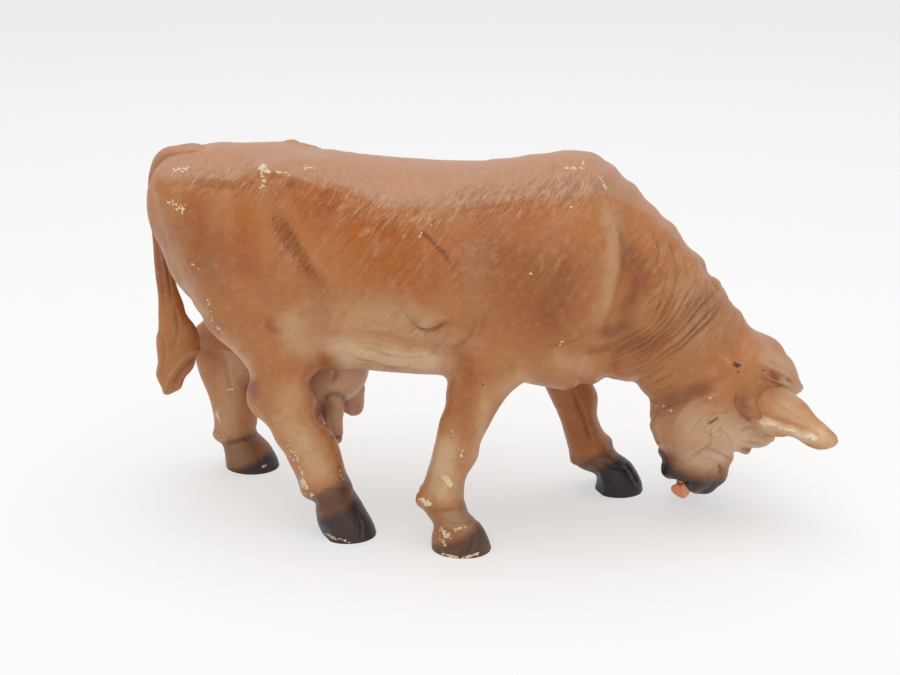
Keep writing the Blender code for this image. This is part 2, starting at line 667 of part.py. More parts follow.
def leg_part_place(name):
    path = leg_path(name)
    return np.array([np.interp(LEG_PART_ROWS[name], range(len(path)), path[:, i]) for i in range(3)])


def leg_sleeve(name, grow, deep):
    """Level rings round a leg, grown by grow, from its parting down to deep below the floor."""
    path = leg_path(name)
    line = np.vstack([leg_part_place(name), path[int(LEG_PART_ROWS[name]) + 1:], hoof_place(name)])
    line[0, 2] += grow
    line[-1, 2] -= deep
    along, sole = np.array(LEG_SLEEVE_SHARES)
    shares = np.vstack([np.tile(along, (len(line) - 1, 1)), sole])
    depth, width = LEG_DEPTH + HOOF_LENGTH, LEG_WIDTH + HOOF_WIDTH
    before, behind, wide = (shares * (depth, depth, width) + grow).T
    rings = rings_along(line, (1, 0, 0), before, behind, wide)
    rings[:, :, 2] = line[:, None, 2]
    return rings


def part_section(figure, name, body, trunk, block, gap, frame):
    """Part the section inside a block from the body, with a peg at a frame that seats in the trunk."""
    section = figure.add_part(name, body.copy())
    peg = figure.add_cutter(name + "_peg", peg_mesh(name + "_peg", 0), frame)
    socket = figure.add_cutter(name + "_socket", peg_mesh(name + "_socket", CLEARANCE), frame)
    boolean(section, "INTERSECT", block)
    boolean(section, "UNION", peg)
    boolean(trunk, "DIFFERENCE", gap)
    boolean(trunk, "DIFFERENCE", socket)
    return section


def part_leg(figure, name, body, trunk):
    block = figure.add_cutter(name + "_block", skins_mesh(name + "_block", [leg_sleeve(name, 0, 0)]))
    gap_rings = leg_sleeve(name, CLEARANCE, HOOF_HEIGHT)
    gap = figure.add_cutter(name + "_gap", skins_mesh(name + "_gap", [gap_rings]))
    frame = Matrix.Translation(leg_part_place(name))
    return part_section(figure, name, body, trunk, block, gap, frame)


def part_head(figure, body, trunk):
    slope = math.radians(HEAD_PART_ANGLE)
    frame = frame_at(neck_place(HEAD_PART_SHARES), (-math.sin(slope), 0, math.cos(slope)), (1, 0, 0))
    size = np.array(HEAD_BLOCK_SHARES) * (HEAD_DEPTH, HEAD_WIDTH, HEAD_LENGTH)
    block = figure.add_cutter("head_block", block_mesh("head_block", size, 0), frame)
    grown = size + 2 * CLEARANCE
    gap = figure.add_cutter("head_gap", block_mesh("head_gap", grown, CLEARANCE), frame)
    return part_section(figure, "head", body, trunk, block, gap, frame)


def add_plug(figure, name, mesh, seat_mesh):
    """A plug, and the cutter of its seat."""
    figure.add_part(name, mesh)
    return figure.add_cutter(name + "_seat", seat_mesh)


def main():
    for thing in list(bpy.data.objects):
        bpy.data.objects.remove(thing)
    figure = Figure("grazing_cow")
    forms = [trunk_rings(), neck_rings(), head_rings()]
    for name in LEG_PATH_SHARES:
        forms += [leg_rings(name), hoof_rings(name), *dewclaw_forms(name)]
    body = fused("body", forms, GRAIN, BODY_ROUNDS, BODY_FACES_SHARE, carve)

    trunk = figure.add_part("trunk", body.copy())
    tail_seat = add_plug(figure, "tail", skins_mesh("tail", [tail_rings(0)]),
                         skins_mesh("tail_seat", [tail_rings(CLEARANCE)]))
    finish = (FINE_GRAIN, UDDER_ROUNDS, UDDER_FACES_SHARE)
    udder_seat = add_plug(figure, "udder", fused("udder", udder_forms(0), *finish),
                          fused("udder_seat", udder_forms(CLEARANCE), *finish))
    boolean(trunk, "DIFFERENCE", udder_seat)
    boolean(trunk, "DIFFERENCE", tail_seat)
    for name in LEG_PATH_SHARES:
        leg = part_leg(figure, name, body, trunk)
        if name.startswith("rear"):
            boolean(leg, "DIFFERENCE", udder_seat)

    head = part_head(figure, body, trunk)
    boolean(head, "DIFFERENCE", bpy.data.objects["front_left_leg_gap"])
    for name in EAR_PLACE_SHARES:
        boolean(head, "DIFFERENCE", add_plug(figure, name, skins_mesh(name, [ear_rings(name, 0)]),
                                             skins_mesh(name + "_seat", [ear_rings(name, CLEARANCE)])))
    boolean(head, "DIFFERENCE", add_plug(figure, "tongue", skins_mesh("tongue", [tongue_rings(0)]),
                                         skins_mesh("tongue_seat", [tongue_rings(CLEARANCE)])))
    figure.centre()


main()
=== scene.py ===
"""Finishes a toy cow: a fine painted skin over each moulded section, on a pale table in soft studio light.

The cow faces +X with its right side towards -Y, and stands on the plane Z = 0. Its sections are lofted,
fused and relaxed as one casting, sculpted with strokes, and parted where the solids part. Strokes and paint
are laid in pixels of the photograph's view of the right side, and the left side carries their mirror image.
Lengths are in metres and angles in degrees.
"""
import itertools
import math

import bmesh
import bpy
import numpy as np
from bpy.props import FloatProperty, FloatVectorProperty, PointerProperty
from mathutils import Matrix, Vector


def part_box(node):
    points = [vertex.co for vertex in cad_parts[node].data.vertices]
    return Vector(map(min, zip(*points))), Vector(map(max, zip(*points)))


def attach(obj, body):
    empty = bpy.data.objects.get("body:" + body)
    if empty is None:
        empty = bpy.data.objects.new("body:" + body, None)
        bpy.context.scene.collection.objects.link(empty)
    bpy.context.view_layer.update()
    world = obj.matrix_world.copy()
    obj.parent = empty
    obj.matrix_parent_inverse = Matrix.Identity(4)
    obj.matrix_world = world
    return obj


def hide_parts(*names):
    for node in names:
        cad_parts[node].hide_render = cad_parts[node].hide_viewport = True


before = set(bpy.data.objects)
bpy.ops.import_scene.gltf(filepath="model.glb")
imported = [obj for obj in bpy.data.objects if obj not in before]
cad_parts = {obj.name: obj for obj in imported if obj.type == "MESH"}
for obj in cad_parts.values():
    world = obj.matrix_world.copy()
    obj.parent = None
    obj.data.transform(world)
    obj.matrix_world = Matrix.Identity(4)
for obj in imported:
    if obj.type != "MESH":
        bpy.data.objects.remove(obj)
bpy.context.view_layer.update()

bl_info = {
    "name": "Grazing cow",
    "version": (1, 0, 0),
    "blender": (4, 5, 0),
    "location": "3D View > Sidebar > Cow",
    "description": "Sculpts and paints the skin of a grazing toy cow around its solid sections",
    "category": "Object",
}

MILLIMETRE = 0.001
# The photograph's width and height, and the camera's sensor
PIXELS = 900, 675
SENSOR_WIDTH = 36.0

# Points round the rings of a section, of a plug and of a dewclaw
RING_SIDES = 72
PLUG_SIDES = 48
DEWCLAW_SIDES = 24
DEWCLAW_RINGS = 13
# Rings for each gap of a table's rows, and steps for each gap of a stroke's places
LOFT_STEPS = 8
STROKE_STEPS = 6
# How square the rings are: 2 is an ellipse
TRUNK_POWER = 2.3
HEAD_POWER = 2.7
# Rounds of relaxing of the casting once fused and once finer, how free its hooves are to move, and rounds
# for the plugs
RELAX_ROUNDS = 24
FINE_ROUNDS = 3
HOOF_FREEDOM = 0.45
PLUG_ROUNDS = {"right_ear": 4, "left_ear": 4, "tail": 10, "udder": 30, "tongue": 4}
# Height over the table up to which hooves are less free, as a share of hoof_height
HOOF_TOP_SHARE = 1.5
# Depth of the plugs' strokes as a share of stroke_depth
PLUG_DEPTH_SHARE = 0.7
# Distance from the middle plane at which a push of one side has its whole strength
SIDE_FADE = 4 * MILLIMETRE
# A cut's tolerance, and how many sides only the faces that fill a cut have
CUT_TOLERANCE = 1e-7
CAP_SIDES = 8

# Value noise: factors of the three whole places, the scrambling factor and the bits that are kept
NOISE_KEYS = 73856093, 19349663, 83492791
NOISE_FACTOR = 1274126177
NOISE_BITS = 0xFFFF
# Its seeds
HAIR_SEED, UNEVEN_SEED, BROKEN_SEED, DRIFT_SEED = 3, 11, 21, 31
WOBBLE_SEEDS = 5, 9

# Trunk rows: place along, ridge, belly, half width, as shares of body_length, withers_height twice and
# barrel_width
TRUNK_SHARES = (
    (-0.548, 0.938, 0.760, 0.16),
    (-0.530, 0.970, 0.675, 0.27),
    (-0.48, 0.986, 0.590, 0.35),
    (-0.41, 0.990, 0.510, 0.41),
    (-0.32, 0.988, 0.455, 0.455),
    (-0.24, 0.976, 0.435, 0.47),
    (-0.15, 0.962, 0.425, 0.49),
    (-0.05, 0.955, 0.424, 0.505),
    (0.05, 0.957, 0.425, 0.50),
    (0.14, 0.968, 0.415, 0.47),
    (0.22, 0.990, 0.395, 0.435),
    (0.275, 0.988, 0.392, 0.39),
    (0.32, 0.925, 0.425, 0.31),
    (0.35, 0.840, 0.480, 0.20),
)
# Neck rows: centre as shares of body_length, head_swing and withers_height, then height over and depth under
# the centre as shares of neck_depth, then half width as a share of neck_width
NECK_SHARES = (
    (0.14, 0.00, 0.680, 0.48, 0.46, 0.58),
    (0.24, 0.00, 0.670, 0.51, 0.48, 0.60),
    (0.31, 0.05, 0.640, 0.465, 0.44, 0.55),
    (0.365, 0.18, 0.580, 0.41, 0.38, 0.48),
    (0.405, 0.33, 0.515, 0.36, 0.34, 0.42),
    (0.438, 0.46, 0.440, 0.33, 0.300, 0.38),
    (0.458, 0.54, 0.370, 0.32, 0.290, 0.34),
    (0.468, 0.60, 0.310, 0.27, 0.275, 0.28),
)
# Head place: poll centre as shares of body_length, head_swing and withers_height
HEAD_PLACE_SHARES = (0.553, 0.55, 0.448)
# Head rows: place along the head, rise towards the forehead, forehead and jaw half depths, half width, as
# shares of head_length, head_depth three times and head_width
HEAD_SHARES = (
    (-0.10, 0.17, 0.24, 0.28, 0.26),
    (-0.04, 0.13, 0.40, 0.46, 0.41),
    (0.08, 0.08, 0.50, 0.66, 0.48),
    (0.22, -0.06, 0.55, 0.74, 0.54),
    (0.38, -0.11, 0.56, 0.76, 0.59),
    (0.54, -0.10, 0.43, 0.62, 0.47),
    (0.70, -0.03, 0.34, 0.40, 0.36),
    (0.84, 0.02, 0.32, 0.33, 0.37),
    (0.94, 0.03, 0.29, 0.30, 0.35),
    (1.00, 0.03, 0.19, 0.19, 0.25),
)
# Ear places: root towards the muzzle, the forehead and the right side, as shares of head_length, head_depth
# and head_width, then the directions to the tip and out of the back of the ear
EAR_PLACE_SHARES = {
    "right_ear": ((0.124, -0.161, 0.240), (0.84, -0.46, -0.28), (0.15, -0.75, 0.65)),
    "left_ear": ((0.172, 0.038, -0.343), (-0.35, 0.90, -0.25), (-0.10, 0.25, 0.96)),
}
# Ear rows: place along, half width, half thickness, hollow, as shares of ear_length, ear_width,
# ear_thickness and ear_hollow
EAR_SHARES = (
    (-0.11, 0.08, 0.30, 0.0),
    (-0.07, 0.24, 0.90, 0.0),
    (0.02, 0.35, 1.30, 0.0),
    (0.12, 0.43, 1.40, 0.2),
    (0.24, 0.49, 1.05, 0.6),
    (0.35, 0.52, 0.72, 0.9),
    (0.48, 0.50, 0.55, 1.0),
    (0.68, 0.42, 0.50, 0.8),
    (0.84, 0.31, 0.45, 0.5),
    (0.94, 0.20, 0.40, 0.2),
    (1.00, 0.08, 0.25, 0.0),
)
# Tongue rows: place along, half thickness, half width, as shares of tongue_length, _thickness and _width
TONGUE_SHARES = (
    (0.00, 0.50, 0.42),
    (0.40, 0.50, 0.50),
    (0.75, 0.46, 0.50),
    (0.93, 0.36, 0.38),
    (1.00, 0.16, 0.18),
)
# Tongue tip as shares of the head, as an ear's root is, and the direction to it
TONGUE_TIP_SHARES = (1.031, -0.125, 0.193)
TONGUE_DIRECTION = (-0.22, -0.05, -0.97)
# Tail rows: centre as shares of body_length, track and withers_height, then half depth and half width as
# shares of tail_thickness
TAIL_SHARES = (
    (-0.430, 0.00, 0.935, 0.45, 0.60),
    (-0.480, 0.00, 0.965, 0.50, 0.64),
    (-0.527, 0.00, 0.948, 0.50, 0.60),
    (-0.548, 0.00, 0.898, 0.46, 0.52),
    (-0.554, 0.00, 0.825, 0.42, 0.46),
    (-0.550, 0.00, 0.735, 0.44, 0.46),
    (-0.547, 0.00, 0.640, 0.50, 0.50),
    (-0.544, 0.00, 0.570, 0.54, 0.54),
)
# Tuft rows, after the tail's: the same centres, then half depth and half width as shares of tuft_width
TUFT_SHARES = (
    (-0.539, 0.01, 0.515, 0.31, 0.25),
    (-0.530, 0.02, 0.465, 0.48, 0.31),
    (-0.534, 0.03, 0.405, 0.48, 0.31),
    (-0.547, 0.04, 0.350, 0.32, 0.24),
    (-0.559, 0.04, 0.300, 0.13, 0.12),
    (-0.562, 0.04, 0.283, 0.05, 0.05),
)
# Udder rows: centre as shares of body_length and withers_height, then half length and half width as shares
# of udder_length and udder_width
UDDER_SHARES = (
    (-0.244, 0.500, 0.38, 0.38),
    (-0.240, 0.450, 0.49, 0.50),
    (-0.237, 0.400, 0.50, 0.50),
    (-0.234, 0.352, 0.44, 0.46),
    (-0.232, 0.322, 0.31, 0.36),
    (-0.232, 0.308, 0.15, 0.18),
)
# Teat roots as shares of udder_length and udder_width from the udder's middle, then shares of teat_length
# and teat_diameter
TEAT_SHARES = (
    (-0.185, -0.28, 0.72, 1.05),
    (-0.235, 0.26, 1.00, 1.00),
    (0.09, -0.22, 0.84, 0.95),
    (0.20, 0.25, 0.56, 1.10),
)
# Teat rows: drop as a share of teat_length, half width as a share of teat_diameter
TEAT_ROW_SHARES = ((-0.35, 0.62), (0.0, 0.56), (0.45, 0.46), (0.80, 0.42), (0.95, 0.30), (1.00, 0.14))
# Leg paths: places as shares of body_length, track and withers_height, from inside the body to the fetlock
LEG_PATH_SHARES = {
    "front_right_leg": (
        (0.150, -0.30, 0.72), (0.130, -0.39, 0.61), (0.095, -0.44, 0.53), (0.073, -0.47, 0.46),
        (0.053, -0.49, 0.375), (0.034, -0.50, 0.29), (0.019, -0.50, 0.22), (0.013, -0.50, 0.165),
        (0.020, -0.50, 0.115), (0.032, -0.50, 0.080),
    ),
    "front_left_leg": (
        (0.200, 0.30, 0.72), (0.195, 0.39, 0.61), (0.190, 0.44, 0.53), (0.187, 0.47, 0.46),
        (0.194, 0.49, 0.375), (0.210, 0.51, 0.29), (0.229, 0.53, 0.22), (0.243, 0.55, 0.160),
        (0.261, 0.57, 0.110), (0.282, 0.58, 0.075),
    ),
    "rear_right_leg": (
        (-0.385, -0.22, 0.84), (-0.370, -0.33, 0.75), (-0.350, -0.38, 0.64), (-0.318, -0.42, 0.54),
        (-0.290, -0.45, 0.46), (-0.280, -0.46, 0.39), (-0.257, -0.46, 0.305), (-0.233, -0.45, 0.22),
        (-0.218, -0.44, 0.150), (-0.200, -0.43, 0.100),
    ),
    "rear_left_leg": (
        (-0.385, 0.22, 0.84), (-0.375, 0.33, 0.75), (-0.375, 0.38, 0.64), (-0.400, 0.42, 0.54),
        (-0.440, 0.45, 0.46), (-0.465, 0.47, 0.39), (-0.474, 0.49, 0.305), (-0.470, 0.51, 0.22),
        (-0.468, 0.53, 0.150), (-0.457, 0.54, 0.100),
    ),
}
# Leg girths, a row for each place of a path: half depths before and behind it as shares of leg_depth, and
# half width as a share of leg_width
FRONT_GIRTH_SHARES = (
    (1.00, 0.90, 0.60), (1.00, 0.95, 0.76), (0.84, 0.88, 0.74), (0.62, 0.67, 0.66), (0.49, 0.49, 0.57),
    (0.41, 0.38, 0.51), (0.37, 0.36, 0.47), (0.37, 0.40, 0.48), (0.40, 0.45, 0.50), (0.43, 0.44, 0.50),
)
REAR_GIRTH_SHARES = (
    (1.00, 1.10, 0.60), (1.20, 1.10, 0.88), (1.30, 0.93, 0.98), (1.06, 0.60, 0.86), (0.80, 0.55, 0.68),
    (0.70, 0.80, 0.58), (0.58, 0.66, 0.51), (0.52, 0.50, 0.47), (0.47, 0.46, 0.48), (0.45, 0.46, 0.50),
)
# Hoof places ahead and to the left of a path's end, as shares of hoof_length and hoof_width
HOOF_PLACE_SHARES = {
    "front_right_leg": (0.11, 0.03), "front_left_leg": (0.24, 0.03),
    "rear_right_leg": (0.21, 0.06), "rear_left_leg": (0.18, 0.00),
}
# Hoof rows: setback, height, half lengths before and behind, half width, as shares of hoof_length,
# hoof_height, hoof_length twice and hoof_width
HOOF_SHARES = (
    (-0.24, 1.45, 0.26, 0.28, 0.32),
    (-0.20, 1.10, 0.38, 0.42, 0.46),
    (-0.12, 0.75, 0.44, 0.46, 0.51),
    (-0.04, 0.38, 0.49, 0.50, 0.53),
    (0.00, 0.08, 0.52, 0.52, 0.53),
    (0.01, -0.30, 0.52, 0.52, 0.52),
    (0.01, -0.55, 0.45, 0.44, 0.45),
)
# Dewclaws: height as a share of hoof_height; then place behind the fetlock and to either side, as shares of
# hoof_length and hoof_width, and half length, half height and half width as shares of hoof_length
DEWCLAW_HEIGHT_SHARES = {
    "front_right_leg": 1.42, "front_left_leg": 0.92, "rear_right_leg": 1.10, "rear_left_leg": 1.02,
}
DEWCLAW_SHARES = (-0.40, 0.20, 0.16, 0.17, 0.15)
# Where a leg parts from the trunk: place along its path, counted in rows
LEG_PART_ROWS = {"front_right_leg": 4.2, "front_left_leg": 4.4, "rear_right_leg": 5.3, "rear_left_leg": 5.0}
# Head parting: a point of its plane as shares of body_length, head_swing and withers_height, and the slope
HEAD_PART_SHARES = (0.465, 0.55, 0.430)
HEAD_PART_ANGLE = 36
# Where faces become finer and where strokes count as the head's: along body_length
FINE_HEAD_SHARE = 0.36
# Below this share of withers_height legs are seen for themselves, and not as the right side's mirror image
LEG_VIEW_SHARE = 0.38

# Strokes under this reach in pixels get finer faces, over this reach around them
NARROW = 3.5
FINE_REACH = 4.5
# Strengths of those strokes and of the hair over which faces become finer
FINE_SHARE = 0.35
FINE_HAIR_SHARE = 0.6
# Share of a stroke's height at its ends, how fast the rest comes, and in how many reaches it is gone
END_SHARE, END_GROWTH = 0.35, 4
STROKE_REACHES = 3
# How the casting's strokes come and go: least share, range and grain
BROKEN_SHARE, BROKEN_RANGE, BROKEN_GRAIN = 0.35, 1.3, 5 * MILLIMETRE
# How strokes and paint waver: pixels to either side, and the grain in pixels
STROKE_WOBBLE = 1.6, 17.0
PAINT_WOBBLE = 2.0, 9.0
# Width across the figure's middle over which bones and muscles fade, as a share of barrel_width
BONE_FADE_SHARE = 0.25

# Bumps and hollows on both flanks: place as shares of body_length and withers_height, reach as a share of
# barrel_width, height as a share of relief
FLANK_SHARES = (
    (-0.295, 0.950, 0.12, 1.6),
    (-0.500, 0.925, 0.10, 1.0),
    (-0.410, 0.800, 0.18, 0.4),
    (-0.390, 0.600, 0.22, 0.7),
    (-0.210, 0.830, 0.16, -1.1),
    (0.235, 0.770, 0.22, 0.9),
    (0.290, 0.560, 0.15, 1.1),
    (0.030, 0.520, 0.12, 0.7),
)
# Creases on both flanks: places as shares of body_length and withers_height, then reach and height as above
CREASE_SHARES = (
    (((0.13, 0.93), (0.11, 0.78), (0.09, 0.62)), 0.08, -0.5),
    (((0.30, 0.93), (0.335, 0.78), (0.355, 0.62), (0.34, 0.50)), 0.07, -1.1),
    (((-0.27, 0.90), (-0.25, 0.76), (-0.20, 0.64)), 0.06, -0.7),
    (((-0.17, 0.70), (-0.185, 0.55), (-0.20, 0.46)), 0.07, 0.7),
)
# Bumps and hollows of the head: place towards the muzzle, the forehead and either side, as shares of
# head_length, head_depth and head_width, then reach as a share of head_width and height as above
FACE_SHARES = (
    (-0.02, 0.35, 0.00, 0.30, 0.6),
    (0.40, 0.30, 0.48, 0.24, 1.6),
    (0.30, -0.40, 0.45, 0.36, 0.8),
    (0.60, 0.15, 0.45, 0.26, -0.9),
    (0.62, -0.50, 0.00, 0.30, -0.8),
    (0.90, 0.22, 0.36, 0.22, 1.1),
    (0.96, -0.28, 0.15, 0.20, 0.5),
    (0.93, 0.02, 0.40, 0.10, -0.9),
)

# Pushes across the view: pixel place, reach, pixels to the right and down, and the side of the figure that
# is pushed: -1 for the near half, 1 for the far half and 0 for both
CASTING_PUSHES = (
    (562, 158, 24, 0, -4, 0),
    (604, 160, 9, 0, 4, 0),
    (306, 146, 10, 0, 3, 0),
    (321, 150, 8, 0, 3, 0),
    (298, 143, 16, 0, 4, 1),
    (530, 158, 15, 0, -4, 0),
    (506, 161, 18, 0, -2, 0),
    (585, 389, 11, -3, -9, 0),
    (594, 396, 12, 8, 0, 1),
    (592, 490, 11, 6, 0, 1),
    (663, 218, 10, -2, 4, 0),
    (711, 268, 11, -3, 5, 0),
    (636, 190, 12, 3, -6, 0),
    (688, 240, 21, -5, 8, 0),
    (742, 318, 12, 3, -7, 0),
    (786, 352, 10, -3, 4, 0),
    (795, 386, 8, 7, -4, 0),
    (800, 384, 7, -1, 8, 0),
    (793, 392, 6, 5, 2, 0),
    (160, 250, 20, 6, 0, 0),
    (190, 302, 14, 2, 0, 0),
    (199, 318, 9, 6, 0, 0),
    (220, 147, 16, 0, -3, 0),
    (654, 428, 11, -4, 0, 0),
    (657, 443, 9, -4, 0, 0),
    (747, 446, 10, 1, 9, 0),
    (679, 488, 8, 0, -6, 0),
    (661, 450, 6, -4, 0, 0),
    (658, 461, 8, 4, 0, 0),
    (684, 490, 7, 0, -6, 0),
    (731, 458, 7, 4, 0, 0),
    (762, 446, 9, 0, 3, 0),
    (718, 487, 9, -3, -3, 0),
    (321, 536, 8, 6, 0, -1),
    (668, 484, 7, 3, -3, 0),
    (604, 385, 9, 0, -8, 0),
    (640, 390, 12, -2, -8, 0),
    (648, 408, 9, 3, -8, 0),
    (441, 382, 12, 7, -2, -1),
    (440, 404, 12, 4, 0, -1),
    (472, 460, 14, 5, 0, -1),
    (468, 502, 10, -5, 0, -1),
    (474, 513, 8, -5, 0, -1),
    (430, 524, 9, 4, 0, -1),
    (622, 448, 12, -9, 2, 1),
    (587, 476, 9, 8, -2, 1),
    (326, 382, 17, -13, 0, -1),
    (331, 414, 13, -13, 0, -1),
    (262, 430, 15, 8, -2, -1),
    (280, 452, 10, 4, 0, -1),
    (306, 504, 9, 8, -2, -1),
    (258, 432, 12, -6, 0, 1),
)
PLUG_PUSHES = {
    "right_ear": ((820, 414, 18, -2, 3, 0), (792, 445, 13, 0, -7, 0), (822, 452, 8, 0, 1, 0),
                  (826, 420, 19, -1, 2, 0)),
    "left_ear": (),
    "tail": ((180, 143, 15, 0, 3, 0), (182, 298, 17, 4, 0, 0), (158, 376, 10, -4, 0, 0),
             (176, 386, 8, 4, 2, 0)),
    "udder": ((338, 434, 9, 0, 6, 0), (352, 404, 10, 6, -2, 1)),
    "tongue": ((671, 490, 9, -7, -2, 0), (689, 490, 7, 1, -1, 0)),
}

# Strokes: reach in pixels, height as a share of stroke_depth, then the places of the line in pixels
THIGH_GROOVE = (6.0, -0.42, (265, 200), (275, 220), (288, 243), (303, 268), (322, 292))
FLANK_STROKES = (
    THIGH_GROOVE,
    (5.0, 0.30, (278, 196), (291, 222), (304, 246), (319, 268), (335, 284)),
    (7.0, -0.42, (187, 198), (192, 245), (210, 285), (235, 312), (252, 330)),
    (8.0, 0.40, (212, 200), (212, 250), (230, 290), (250, 318)),
    (7.0, -0.42, (234, 190), (236, 240), (250, 285), (264, 310)),
    (8.0, 0.30, (262, 200), (258, 250), (272, 290), (290, 312)),
    (4.0, 0.45, (150, 190), (158, 220), (171, 260), (189, 297), (214, 330), (237, 350)),
    (4.0, -0.35, (160, 195), (168, 228), (182, 262), (200, 294), (222, 322)),
    (3.4, 0.45, (172, 178), (200, 176), (232, 180), (262, 168), (282, 174), (312, 182), (345, 194)),
    (3.4, -0.20, (174, 186), (200, 185), (232, 188), (262, 178), (284, 184), (312, 192), (342, 203)),
    (4.0, 0.30, (258, 172), (263, 165), (268, 171)),
    (2.6, -0.55, (264, 316), (270, 326), (280, 334)),
    (3.5, 0.50, (275, 312), (292, 318), (300, 332)),
    (2.2, -0.50, (246, 344), (256, 356), (268, 362)),
    (2.4, -0.30, (318, 334), (345, 330), (372, 333), (404, 341), (430, 352)),
    (3.0, 0.40, (322, 341), (350, 338), (380, 342), (410, 350)),
    (1.8, -0.45, (340, 352), (365, 362), (392, 367), (425, 364)),
    (1.8, -0.40, (350, 345), (378, 354), (408, 358), (440, 357)),
    (1.8, -0.30, (330, 322), (352, 318), (376, 322), (398, 330)),
    (2.2, -0.70, (405, 313), (413, 325), (424, 331), (436, 329), (445, 324), (457, 325), (466, 332)),
    (2.4, 0.45, (412, 309), (424, 321), (440, 318), (455, 317)),
    (2.2, -0.70, (478, 318), (475, 330), (470, 339), (460, 345), (455, 347)),
    (2.0, -0.45, (486, 314), (484, 328), (478, 339)),
    (2.4, 0.40, (452, 332), (462, 336), (468, 341)),
    (2.4, -0.30, (444, 347), (462, 349), (485, 351)),
    (10.0, -0.40, (476, 225), (470, 260), (472, 300), (478, 325)),
    (12.0, 0.25, (505, 225), (500, 265), (504, 305)),
    (8.0, -0.25, (532, 225), (530, 262), (534, 306)),
    (10.0, 0.22, (558, 215), (556, 262), (553, 312)),
    (8.0, -0.30, (584, 232), (588, 262), (582, 298)),
    (6.0, 0.75, (603, 198), (613, 232), (615, 262), (608, 292), (594, 326)),
    (5.5, -0.80, (617, 218), (625, 240), (628, 262), (623, 290), (614, 318), (604, 336)),
    (9.0, -0.50, (634, 245), (644, 272), (642, 302)),
    (5.0, 0.30, (646, 235), (660, 262), (662, 292), (640, 320)),
    (3.5, -0.70, (636, 318), (618, 328), (602, 334)),
    (3.5, -0.70, (616, 342), (600, 350), (586, 351)),
    (3.2, 0.50, (628, 330), (608, 341), (588, 344)),
    (4.0, 0.45, (552, 354), (578, 366), (592, 370)),
    (2.2, -0.50, (541, 346), (556, 346), (575, 340), (592, 330)),
)
# Ribs over the thigh's groove: reach, height, their places around each place of the groove in pixels, how
# many there are in each of its gaps, and how many are left out at its upper end
RIB_REACH, RIB_HEIGHT = 1.7, -0.42
RIB_PLACES = (7, -6), (2, 0), (1, 6)
RIB_STEPS = 5
RIBS_LEFT_OUT = 4
# Folds that sweep round the throat: a set of arcs is blended between each of these and the next
NECK_ARCS = (
    ((588, 352), (612, 348), (640, 332), (655, 314), (664, 292), (668, 268)),
    ((592, 362), (620, 358), (650, 342), (672, 322), (688, 298), (698, 272)),
    ((604, 371), (634, 366), (660, 350), (684, 330), (704, 306), (722, 286)),
    ((632, 377), (654, 372), (674, 360), (696, 346), (712, 330), (730, 306)),
)
ARC_BLENDS = (0.0, 0.40, 0.67)
ARC_REACH = 1.7
ARC_HEIGHT = -0.55
NECK_STROKES = (
    (6.0, -0.55, (668, 405), (684, 395), (702, 387), (718, 381), (732, 380)),
    (4.0, -0.45, (716, 372), (719, 352), (717, 338), (712, 325)),
    (4.0, 0.45, (731, 372), (731, 350), (726, 330)),
    (1.6, -0.60, (640, 380), (654, 374), (668, 366)),
    (1.6, -0.60, (648, 386), (660, 382), (675, 374)),
    (1.6, -0.50, (653, 394), (664, 391), (676, 386)),
    (1.6, -0.30, (663, 410), (668, 406), (672, 410), (670, 414)),
    (2.0, -0.45, (700, 262), (710, 276), (720, 292)),
    (2.0, -0.45, (684, 256), (690, 282), (686, 305)),
    (2.0, -0.40, (668, 240), (676, 262), (676, 290)),
    (2.0, -0.40, (652, 226), (658, 248), (656, 272)),
)
FACE_STROKES = (
    (3.0, 0.50, (674, 424), (684, 408), (700, 399), (722, 394)),
    (1.4, -0.55, (686, 462), (696, 455), (704, 449), (716, 453), (731, 460)),
    (1.8, 0.40, (690, 464), (700, 457), (708, 456), (722, 461)),
    (1.2, -0.40, (709, 430), (710, 440), (705, 449)),
    (1.3, -0.80, (711, 424), (718, 419)),
    (1.5, -0.28, (686, 422), (702, 418), (720, 414), (734, 411)),
    (1.5, -0.25, (684, 434), (700, 432), (712, 436)),
    (1.5, -0.22, (690, 410), (706, 404), (724, 402)),
    (1.2, -0.35, (720, 430), (728, 436), (732, 446)),
    (4.0, -0.35, (668, 412), (667, 430), (670, 446), (678, 460)),
    (4.0, 0.40, (698, 472), (712, 469), (720, 464)),
    (2.4, -0.45, (684, 474), (696, 478), (708, 474), (718, 466)),
    (1.4, -0.80, (671, 478), (680, 482), (690, 482)),
    (4.0, 0.85, (748, 436), (760, 440), (770, 440)),
    (1.6, -0.50, (738, 434), (748, 428), (762, 431), (776, 438)),
    (1.6, -0.50, (740, 441), (756, 443), (770, 442)),
    (2.2, -0.80, (738, 450), (750, 451), (762, 452)),
    (2.0, -0.40, (737, 391), (737, 402), (742, 413), (751, 421)),
    (6.0, 2.20, (747, 398), (749, 406), (755, 414)),
    (2.0, 0.45, (752, 424), (760, 430), (768, 430)),
    (2.4, -0.65, (770, 371), (775, 376), (780, 380)),
    (1.8, -0.45, (788, 379), (791, 382)),
    (2.2, 0.60, (764, 364), (776, 370), (788, 376)),
    (1.6, 0.50, (770, 378), (780, 384), (792, 388)),
    (2.4, -0.35, (752, 383), (762, 379), (780, 386), (798, 392)),
    (2.0, -0.80, (719, 466), (723, 470), (721, 475)),
)
